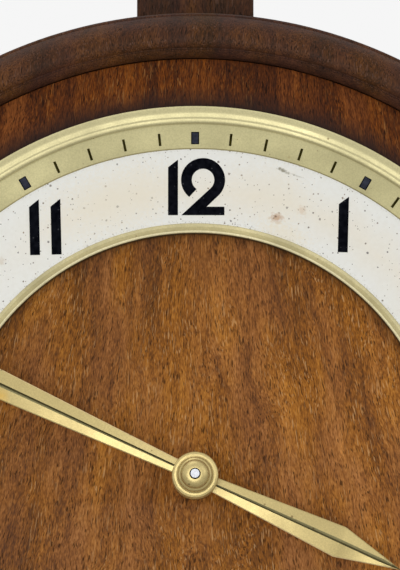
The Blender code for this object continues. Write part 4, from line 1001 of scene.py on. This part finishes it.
def blade(length, width, wide_at, angle, back):
    """A lofted blade, lying on a height at the back and pointing at an angle from twelve."""
    stations = [s * MM for s in (3.2, 9, 14, 20, 27, 34, 41, 48)] + [wide_at * s for s in (0.97, 1.0, 1.02)]
    stations = [s for s in stations if s < wide_at * 1.03]
    stations += [wide_at + (length - wide_at) * share for share in (0.12, 0.3, 0.5, 0.7, 0.85, 0.95, 0.995)]
    rings = []
    for along in sorted(stations):
        grown = min(1.0, along / wide_at)
        half = ROOT_HALF + (width / 2 - ROOT_HALF) * grown
        if along > wide_at:
            half = width / 2 * (length - along) / (length - wide_at) + 0.00003
        groove = min(0.00020 + 0.00022 * grown, half * 0.35)
        lip = min(0.00022, half * 0.3)
        crown = max(0.0007, 0.0011 + 0.62 * (half - 0.003))
        section = [(-half, 0.0), (-half, EDGE_H), (-half + lip, LIP_H), (-groove * 1.6, crown),
                   (-groove * 0.3, crown - 0.0004), (groove * 0.9, crown - 0.0005), (groove, crown),
                   (half - lip, LIP_H), (half, EDGE_H), (half, 0.0)]
        rings.append([(x * cos(angle) + along * sin(angle), back - h,
                       -x * sin(angle) + along * cos(angle)) for x, h in section])
    return lofted(rings, material=lambda k: BLADE_FINISHES.get(k, 0))


def boss(bore, back):
    shape = [(bore, 0.0), (bore, 1.2), (bore + 0.3, 1.5), (4.6, 1.5), (5.0, 1.1), (5.5, 1.1), (6.0, 0.9),
             (6.2, 0.5), (6.2, 0.0)]
    return turned(in_mm(shape, 0.0, PANEL_Y - back), 64)


print("a blade has", len(BLADE_FINISHES), "dressed strips")

# %% Hands and hand nut
MINUTE_ANGLE = radians(294.9)
HOUR_ANGLE = radians(90) + MINUTE_ANGLE / 12
HAND_FINISHES = (BRASS_HAND, BRASS_GROOVE, BRASS_LIP_HIGHLIGHT, BRASS_DIRT_AND_SHADE_LINE)
# Length, width, where it is widest, angle, bore in millimetres and body.
HANDS = {"minute_hand": (0.0875, 0.0080, 0.0640, MINUTE_ANGLE, 2.8, "center"),
         "hour_hand": (0.0600, 0.0086, 0.0420, HOUR_ANGLE, 4.1, "hour")}
NUT = ((1.5, 0), (4.6, 0), (4.7, 0.3), (4.6, 1.0), (4.3, 1.5), (3.9, 1.7), (3.9, 2.1), (3.5, 2.9), (2.8, 3.5),
       (2.0, 3.8), (1.5, 3.8))
for name, (length, width, wide_at, angle, bore, body) in HANDS.items():
    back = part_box(name)[1].y
    mesh = together([blade(length, width, wide_at, angle, back), boss(bore, back)])
    keep(name + "_lance", mesh, HAND_FINISHES, body, "brass", name, crease=12)
nut_start = PANEL_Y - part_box("hand_nut")[1].y
keep("hand_nut_dome", turned(in_mm(NUT, 0.0, nut_start), 48), BRASS_HAND, "center", "brass", "hand_nut")

# %% [markdown]
# ## Finial and plinth
# A turned brass vase stands on a small block on top of the head. Its solid has a coarse profile; here a
# smooth curve runs through the same points, with sharp steps kept where the lathe tool would leave them.

# %% Finial
def smooth(points, steps=5):
    """A curve through points of a profile."""
    made = []
    padded = [points[0]] + list(points) + [points[-1]]
    for a, b, c, d in zip(padded, padded[1:], padded[2:], padded[3:]):
        for k in range(steps):
            t = k / steps
            made.append(tuple(0.5 * (2 * q + (r - p) * t + (2 * p - 5 * q + 4 * r - s) * t * t
                                     + (3 * q - p - 3 * r + s) * t ** 3) for p, q, r, s in zip(a, b, c, d)))
    return made + [points[-1]]


FINIAL_R, FINIAL_H = half_size("finial").x, 2 * half_size("finial").z
on_plinth = up_from(0, center("finial").y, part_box("finial")[0].z)
# Shares of the radius and of the height.
foot = [(0, 0), (0.83, 0), (0.85, 0.01), (0.85, 0.04), (0.80, 0.055), (0.60, 0.06), (0.55, 0.08)]
vase = smooth([(0.40, 0.09), (0.29, 0.14), (0.28, 0.20), (0.55, 0.24), (0.95, 0.36), (1.0, 0.46),
               (0.84, 0.57), (0.42, 0.66)])
spire = smooth([(0.50, 0.69), (0.50, 0.72), (0.30, 0.80), (0.12, 0.93), (0.03, 0.995)])
shape = foot + vase + [(0.40, 0.675), (0.48, 0.68)] + spire + [(0, 1.0)]
vase = turned([(r * FINIAL_R, h * FINIAL_H) for r, h in shape], 64, on_plinth)
keep("finial_vase", vase, BRASS_TRIM, "case", "brass", "finial")
eased("finial_block", "finial_plinth", 1.1, 3, WALNUT_DARK, "case", "walnut_dark")

# %% [markdown]
# ## Throat, box and backboard
# These are plain boards. Their copies get rounded edges: a broad round on the top and bottom boards, and
# just a broken edge on the rails and sides. The grain of the top and bottom boards runs sideways. Two thin
# brass lines are let into the throat panel, as cabinet makers inlay stringing.

# %% Boards
SIDES = ("left", "right")
# Name, solid, rounding in millimetres, its segments, finish and slot.
BOARDS = [("backboard_walnut", "backboard", 0.8, 2, WALNUT_DARK, "walnut_dark")]
for side in SIDES:
    BOARDS += [("throat_rail_board_" + side, "throat_rail_" + side, 1.0, 3, WALNUT_DARK, "walnut_dark"),
               ("box_side_board_" + side, "box_side_" + side, 0.6, 2, WALNUT_CASE, "walnut")]
BOARDS += [("throat_panel_walnut", "throat_panel", 1.2, 3, WALNUT, "walnut"),
           ("box_top_board", "box_top", 1.2, 3, WALNUT_ACROSS, "walnut"),
           ("box_bottom_board", "box_bottom", 1.2, 3, WALNUT_ACROSS, "walnut")]
for *board, slot in BOARDS:
    eased(*board, "case", slot)

# %% Stringing
throat_low, throat_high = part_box("throat_panel")
FOOT_Z = throat_low.z
THROAT_FOOT, THROAT_TOP = throat_high.x, 0.046


def throat_half(z):
    return THROAT_TOP + (THROAT_FOOT - THROAT_TOP) * (z + HEAD_R) / (FOOT_Z + HEAD_R)


def stringing(inset):
    """An outline inside the throat panel at one distance from its edges."""
    top_r = HEAD_R + inset
    reach = asin((throat_half(-top_r) - inset) / top_r)
    angles = [reach - 2 * reach * k / 24 for k in range(25)]
    upper = [(top_r * sin(a), -top_r * cos(a)) for a in angles]
    foot = throat_half(FOOT_Z + inset) - inset
    return upper + [(-foot, FOOT_Z + inset), (foot, FOOT_Z + inset)]


throat_front = PANEL_Y - throat_low.y
for label, inset, width in (("outer", 0.0075, 0.0012), ("inner", 0.0115, 0.0005)):
    line = sheet([stringing(inset), stringing(inset + width)], throat_front - 0.0006, throat_front + 0.0001)
    keep("throat_stringing_" + label, line, BRASS_TRIM, "case", "brass")

# %% [markdown]
# ## Dust strips
# A strip of dark felt on the front edge of each side of the box keeps dust out where the door closes. It
# also fills the thin gap, through which light would shine. Felt is rough and fuzzy, so one fine noise
# gives both its colour and its bumps.

# %% Felt strips
FELT_WIDE, FELT_END, FELT_THICK = 0.0035, 0.004, 0.0006
FELT, place = finish("dark_felt", 0.95)
fuzz = noise(place, 2400.0, 3.0)
surface(FELT, tint(span(fuzz, 0.35, 0.65), shade(30, 34, 27), shade(58, 62, 50)), fuzz, 0.5, 0.0002)
for side, inward in zip(SIDES, (1, -1)):
    low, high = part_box("box_side_" + side)
    edge = low.x if inward > 0 else high.x
    strip = block(edge, low.z + FELT_END, edge + inward * FELT_WIDE, high.z - FELT_END)
    front = PANEL_Y - low.y
    keep("dust_felt_" + side, sheet([strip], front - 0.00002, front + FELT_THICK, 0.0002), FELT, "case", None)

# %% [markdown]
# ## The glazed door
# The door is a frame of four boards with mitred corners. One profile, from the outer edge over a small
# step down to the glass, is carried round a rectangle, which makes the mitres by itself. The stiles have
# upright grain and the rails sideways grain, so the faces take one of two finishes by the side they belong
# to. A brass bead edges the glass.

# %% Door frame and bead
door_low, door_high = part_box("door_frame")
DOOR_HALF, DOOR_UP = half_size("door_frame").x, half_size("door_frame").z
DOOR_Z = center("door_frame").z
DOOR_T = door_high.y - door_low.y
STILE, REBATE, GLASS_SEAT = 0.029, 0.005, 0.0038
CORNERS = ((1, 1), (-1, 1), (-1, -1), (1, -1))
# Inset from the outer edge and depth under the front, in millimetres.
MOULD = ((0, 2.2), (0.3, 1.2), (0.9, 0.4), (2.0, 0), (18.0, 0), (18.4, 0.2), (18.6, 1.2), (19.4, 1.4),
         (20.2, 1.0), (21.5, 0.9), (23.0, 1.4), (24.5, 2.8), (25.8, 4.8), (26.6, 6.2), (27.2, 6.5))


def framed(profile):
    """Carry a closed (inset, height) profile round the door; the height starts at the back of the door."""
    loops = [[(sx * (DOOR_HALF - inset), door_high.y - height, DOOR_Z + sz * (DOOR_UP - inset))
              for sx, sz in CORNERS] for inset, height in profile]
    return lofted(loops, True, lambda k: k % 2)


profile = [(0.0004, 0), (0, 0.0004)] + [(inset * MM, DOOR_T - depth * MM) for inset, depth in MOULD]
profile += [(STILE, DOOR_T - 0.0065), (STILE, GLASS_SEAT), (STILE - REBATE, GLASS_SEAT), (STILE - REBATE, 0)]
keep("door_frame_mitred", framed(profile), (WALNUT_ACROSS, WALNUT_CASE), "door", "walnut", "door_frame")
bead = [(STILE - 0.0014 - 0.0009 * cos(a), DOOR_T - 0.0066 + 0.0010 * sin(a))
        for a in (pi * k / 8 for k in range(9))]
bead += [(STILE - 0.0005, DOOR_T - 0.0075), (STILE - 0.0023, DOOR_T - 0.0075)]
keep("door_bead_brass", framed(bead), BRASS_TRIM, "door", "brass")


def dress(solid, material):
    """Give a solid that stays as it is another finish."""
    NODES[solid].data.materials.clear()
    NODES[solid].data.materials.append(material)


dress("door_glass", GLASS)

# %% [markdown]
# ## Knob, latch and hinges
# The turned knob has a flange, a waist and a round grip. It keeps the heights of its solid; the curve
# through them is smoother here. The latch cam and the hinge leaves are copies with broken edges.

# %% Knob and hinges
knob = center("door_knob")
spindle = (door_low.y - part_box("door_knob")[1].y) / MM
HINGES = ("hinge_upper", "hinge_lower")
flange = [(0, spindle), (2.0, spindle), (2.0, 0.4), (6.8, 0.4), (6.8, 1.2), (6.4, 1.8), (5.6, 2.0),
          (5.0, 2.4), (3.6, 2.6)]
grip = smooth([(3.1, 3.0), (3.0, 5.0), (4.6, 6.8), (6.3, 8.4), (6.5, 10.0), (5.2, 12.1), (3.0, 13.2),
               (0.6, 13.5)])
shape = in_mm(flange + grip + [(0, 13.5)])
keep("door_knob_turned", turned(shape, 48, out_from(knob.x, door_low.y, knob.z)), BRASS_TRIM, "latch",
     "brass", "door_knob")
eased("latch_cam_steel", "latch_cam", 0.3, 2, STEEL, "latch", "steel")
for name in HINGES:
    for leaf in ("case", "door"):
        eased(name + "_" + leaf + "_brass", name + "_" + leaf + "_leaf", 0.3, 2, BRASS_TRIM, leaf, "brass")

# %% [markdown]
# ## Brass side arms
# On each side a slender brass arm runs in a long curve from the head to the shoulder of the box. A round
# section is swept along the curve, and swells into collars at both ends where it meets the wood.

# %% Side arms
ARM_R, ARM_STEPS, ARM_SIDES = 0.003, 72, 20
ARM_LEAN = radians(40)
BOX_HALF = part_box("box_side_right")[1].x
arm_y = center("side_arm_right").y
# Where along the arm, how wide, and how much it swells.
SWELLS = ((0.055, 0.014, 0.85), (0.095, 0.010, 0.40), (0.965, 0.014, 0.95), (0.925, 0.010, 0.40),
          (0.5, 0.30, 0.12))


def arm(side):
    out = HEAD_R - ARM_R
    top = Vector((out * sin(ARM_LEAN), -out * cos(ARM_LEAN)))
    end = Vector((BOX_HALF - 0.016, FOOT_Z - ARM_R))
    length = top.y - end.y
    pull, push = top + Vector((-0.10, -0.40)) * length, end + Vector((-0.05, 0.42)) * length
    rings = []
    for k in range(ARM_STEPS + 1):
        t = k / ARM_STEPS
        u = 1 - t
        p = top * u ** 3 + pull * 3 * u * u * t + push * 3 * u * t * t + end * t ** 3
        d = ((pull - top) * u * u + (push - pull) * 2 * u * t + (end - push) * t * t).normalized()
        radius = ARM_R * (0.92 + sum(exp(-((t - at) / wide) ** 2) * high for at, wide, high in SWELLS))
        rings.append([(side * (p.x + d.y * radius * cos(a)), arm_y + radius * sin(a),
                       p.y - d.x * radius * cos(a)) for a in circle(ARM_SIDES)])
    return lofted(rings)


for side, sign in zip(SIDES, (-1, 1)):
    keep("side_arm_brass_" + side, arm(sign), BRASS_TRIM, "case", "brass", "side_arm_" + side)

# %% [markdown]
# ## Pendulum bob and rating nut
# The bob is a brass lens, turned on both faces, with a bore across it for the rod. The nut below it has a
# knurled edge for the fingers, made as a star of shallow ridges.

# %% Bob and nut
BOB_R, HALF_T = half_size("pendulum_bob").x, half_size("pendulum_bob").y
BOB_Z = center("pendulum_bob").z
BORE_R, BORE_REACH = 0.0018, BOB_R + 0.01
at_bob, on_rod = out_from(0, rod_y, BOB_Z), up_from(0, rod_y, 0)
# Shares of the radius and of half the thickness.
face = ((0.0, 1.0), (0.10, 0.997), (0.25, 0.97), (0.45, 0.90), (0.62, 0.79), (0.78, 0.64), (0.88, 0.50),
        (0.93, 0.43), (0.94, 0.40), (0.955, 0.42), (0.985, 0.39), (1.0, 0.30))
lens = [(r * BOB_R, h * HALF_T) for r, h in face] + [(r * BOB_R, -h * HALF_T) for r, h in reversed(face)]
bore = turned([(0, BOB_Z - BORE_REACH), (BORE_R, BOB_Z - BORE_REACH), (BORE_R, BOB_Z + BORE_REACH),
               (0, BOB_Z + BORE_REACH)], 24, on_rod)
keep("pendulum_bob_lens", cut(turned(lens, 128, at_bob), bore), BRASS_TRIM, "bob", "brass", "pendulum_bob")

NUT_R, NUT_H = half_size("rating_nut").x, 2 * half_size("rating_nut").z
nut_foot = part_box("rating_nut")[0].z
RIDGES, RIDGE_DEEP = 72, 0.0003
ROWS = ((0.0, BORE_R), (0.0, NUT_R * 0.84), (0.12, NUT_R), (0.88, NUT_R), (1.0, NUT_R * 0.84), (1.0, BORE_R))
loops = []
for share, radius in ROWS:
    ridges = [radius - (RIDGE_DEEP if k % 2 and radius == NUT_R else 0.0) for k in range(RIDGES)]
    loops.append([on_rod(r * cos(a), r * sin(a), nut_foot + share * NUT_H)
                  for r, a in zip(ridges, circle(RIDGES))])
keep("rating_nut_knurled", lofted(loops, True), BRASS_TRIM, "rating_nut", "brass", "rating_nut", crease=20)

# %% [markdown]
# ## Screws
# Slotted screws hold the hinge leaves, the hanger plate and the backboard. One screw head is made once,
# and a Geometry Nodes tree sets it on points, facing along a vector that each point carries, with its slot
# turned by a random angle. The seed is fixed, so every run gives the same turns.

# %% Screw tree
head = turned([(0, -0.6), (1.0, -0.6), (1.0, 0.05), (0.9, 0.16), (0.65, 0.27), (0.35, 0.33), (0, 0.35)], 20,
              up_from(0, 0, 0))
pattern = holder(cut(head, bar((-1.2, -0.11, 0.08), (1.2, 0.11, 0.6))))
pattern.hide_render = True

screw_tree, screw_keys, given, out = nodes_tree("screws_on_points", {
    "Head": "Object", "Size": "Float", "Seed": "Int", "Finish": "Material"})
aim = screw_tree.nodes.new("GeometryNodeInputNamedAttribute")
aim.data_type = "FLOAT_VECTOR"
facing = Signal(feed(aim, {"Name": "facing"}).outputs[0])
upright = node("FunctionNodeAlignRotationToVector", {"Vector": facing}, axis="Z")
angle = node("FunctionNodeRandomValue", {2: 0.0, 3: pi, "Seed": given["Seed"]}, 1, data_type="FLOAT")
spun = node("FunctionNodeAxisAngleToRotation", {"Axis": (0, 0, 1), "Angle": angle})
end_tree(out, node("GeometryNodeInstanceOnPoints", {
    "Points": given["Geometry"], "Scale": given["Size"],
    "Instance": signals(add("GeometryNodeObjectInfo", {"Object": given["Head"]}))["Geometry"],
    "Rotation": node("FunctionNodeRotateRotation", {0: upright, 1: spun}, rotation_space="LOCAL")}),
    given["Finish"])
print("screw head with", len(pattern.data.polygons), "faces")

# %% Screws in their places
LEAF_GAP, LEAF_T = 0.0003, 0.0012
LEAF_FACE = BOX_HALF + LEAF_GAP + LEAF_T
LEAF_EDGE, HINGE_SIZE, BACK_SIZE = 0.0052, 0.0016, 0.0021
BACK_Y, HEAD_SCREW_R = -0.0004, 0.116


def screws(name, spots, facing, size, material, body, slot, seed):
    base = bpy.data.meshes.new(name)
    base.from_pydata(spots, [], [])
    aim = base.attributes.new("facing", "FLOAT_VECTOR", "POINT")
    for point in aim.data:
        point.vector = facing
    mesh = bake(screw_tree, screw_keys, base, Head=pattern, Size=size, Seed=seed, Finish=material)
    keep(name, mesh, material, body, slot)


for leaf, seed in (("case", 4), ("door", 3)):
    spots = []
    for name in HINGES:
        low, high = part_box(name + "_" + leaf + "_leaf")
        y = high.y - LEAF_EDGE if leaf == "case" else low.y + LEAF_EDGE
        spots += [(LEAF_FACE, y, (low.z + high.z) / 2 + step) for step in (-0.010, 0.0, 0.010)]
    screws("hinge_screws_" + leaf, spots, (1, 0, 0), HINGE_SIZE, BRASS_TRIM, leaf, "brass", seed)
low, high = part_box("hanger_plate")
places = [(x, z) for x in (low.x + 0.005, high.x - 0.005) for z in (low.z + 0.006, high.z - 0.006)]
places += [(HEAD_SCREW_R * sin(a), HEAD_SCREW_R * cos(a))
           for a in (radians(d) for d in (-110, -60, -20, 20, 60, 110))]
bottom, side_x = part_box("box_side_right")[0].z, BOX_HALF - 0.006
places += [(x, bottom + up) for x in (-side_x, side_x) for up in (0.02, 0.094, 0.168)]
screws("back_screws", [(x, BACK_Y, z) for x, z in places], (0, 1, 0), BACK_SIZE, STEEL, "case", "steel", 11)
bpy.data.objects.remove(pattern)
eased("hanger_plate_steel", "hanger_plate", 0.2, 1, STEEL, "case", "steel")

# %% [markdown]
# ## The movement
# Behind the dial panel and inside the hoop sits the whole spring movement. Its solids already have every
# tooth and spoke, so they stay as they are and take procedural finishes: brass for plates, wheels, pillars
# and barrel, steel for arbors, springs and the escapement.

# %% Finishes of the movement
STEEL_NODES = ("mainspring", "barrel_arbor", "ratchet_wheel", "click", "click_spring", "second_arbor",
               "center_arbor", "third_arbor", "escape_arbor", "pallets", "crutch", "suspension_spring",
               "cannon_pinion")
BRASS_NODES = ("back_plate", "front_plate", "pillar_1", "pillar_2", "pillar_3", "pillar_4", "barrel",
               "barrel_cap", "second_wheel", "center_wheel", "third_wheel", "escape_wheel", "suspension_cock",
               "pendulum_rod", "minute_wheel", "hour_wheel")
for names, material in ((STEEL_NODES, STEEL), (BRASS_NODES, BRASS_WORKS)):
    for name in names:
        dress(name, material)
print("movement:", len(STEEL_NODES), "steel and", len(BRASS_NODES), "brass solids")

# %% [markdown]
# ## Floor, light and background
# The clock stands on a plain pale floor, a disc whose edge looks level from every side, in soft light. A
# large lamp in front and a little below the dial lights the lower slopes of the roll and of the hands, as
# in the photograph, and weaker ones fill from the right and above. The world gives the rest. Camera,
# glossy and transmission rays see a plain pale background instead, so that metal and glass show it too.

# %% Floor and world
FLOOR_R, FLOOR_STEPS, FLOOR_GAP = 6.0, 96, 0.0003
WORLD_LIGHT, WORLD_SEEN = 0.52, 0.92
FLOOR, place = finish("pale_floor", 0.6)
mottled = span(noise(place, 3.0, 4.0), 0.3, 0.7)
feed(FLOOR.node_tree.nodes[SHADER], {"Base Color": tint(mottled, shade(226, 225, 222), shade(232, 231, 229))})
floor = holder(bpy.data.meshes.new("floor"), "floor")
rim = [(x, y, CAD_LOW.z - FLOOR_GAP) for x, y in ring(FLOOR_R, FLOOR_STEPS)]
floor.data.from_pydata(rim, [], [range(FLOOR_STEPS)])
floor.data.materials.append(FLOOR)
floor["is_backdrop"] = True

world = bpy.data.worlds.new("studio")
bpy.context.scene.world = world
world.use_nodes = True
rays = signals(world.node_tree.nodes.new("ShaderNodeLightPath"))
seen = calc("MAXIMUM", rays["Is Camera Ray"], rays["Is Glossy Ray"])
seen = span(calc("MAXIMUM", seen, rays["Is Transmission Ray"]), 0.0, 1.0, WORLD_LIGHT, WORLD_SEEN)
feed(world.node_tree.nodes["Background"], {"Color": (1, 1, 1, 1), "Strength": seen})
print("floor of radius", FLOOR_R, "m and a pale world")

# %% Lamps
def lamp(name, place, aim, size, glow, spread=180):
    """A round soft lamp with a given brightness of its face."""
    light = bpy.data.lights.new(name, "AREA")
    light.shape = "DISK"
    light.size = size
    light.energy = glow * pi * pi * size * size / 4
    light.spread = radians(spread)
    made = holder(light, name)
    made.location = place
    made.rotation_euler = (Vector(aim) - Vector(place)).to_track_quat("-Z", "Y").to_euler()
    made.visible_camera = False


lamp("key_lamp", (-0.15, -1.10, -0.13), (0, -0.09, 0.03), 0.72, 0.80, 90)
lamp("fill_lamp", (1.2, -1.2, 0.5), (0, -0.05, -0.1), 0.9, 1.7)
lamp("top_lamp", (-0.3, -0.3, 1.5), (0, 0, -0.2), 1.0, 1.7)
bpy.context.scene.view_settings.view_transform = "Standard"
print("three lamps")

# %% [markdown]
# ## Size
# How far the dressed clock reaches past the box of its solids, printed in millimetres.
# The dressed clock has to keep to the box of its solids.

# %% Finish
low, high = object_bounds()
print("grew by", [round(1000 * v, 2) for v in (*(CAD_LOW - low), *(high - CAD_HIGH))], "mm")
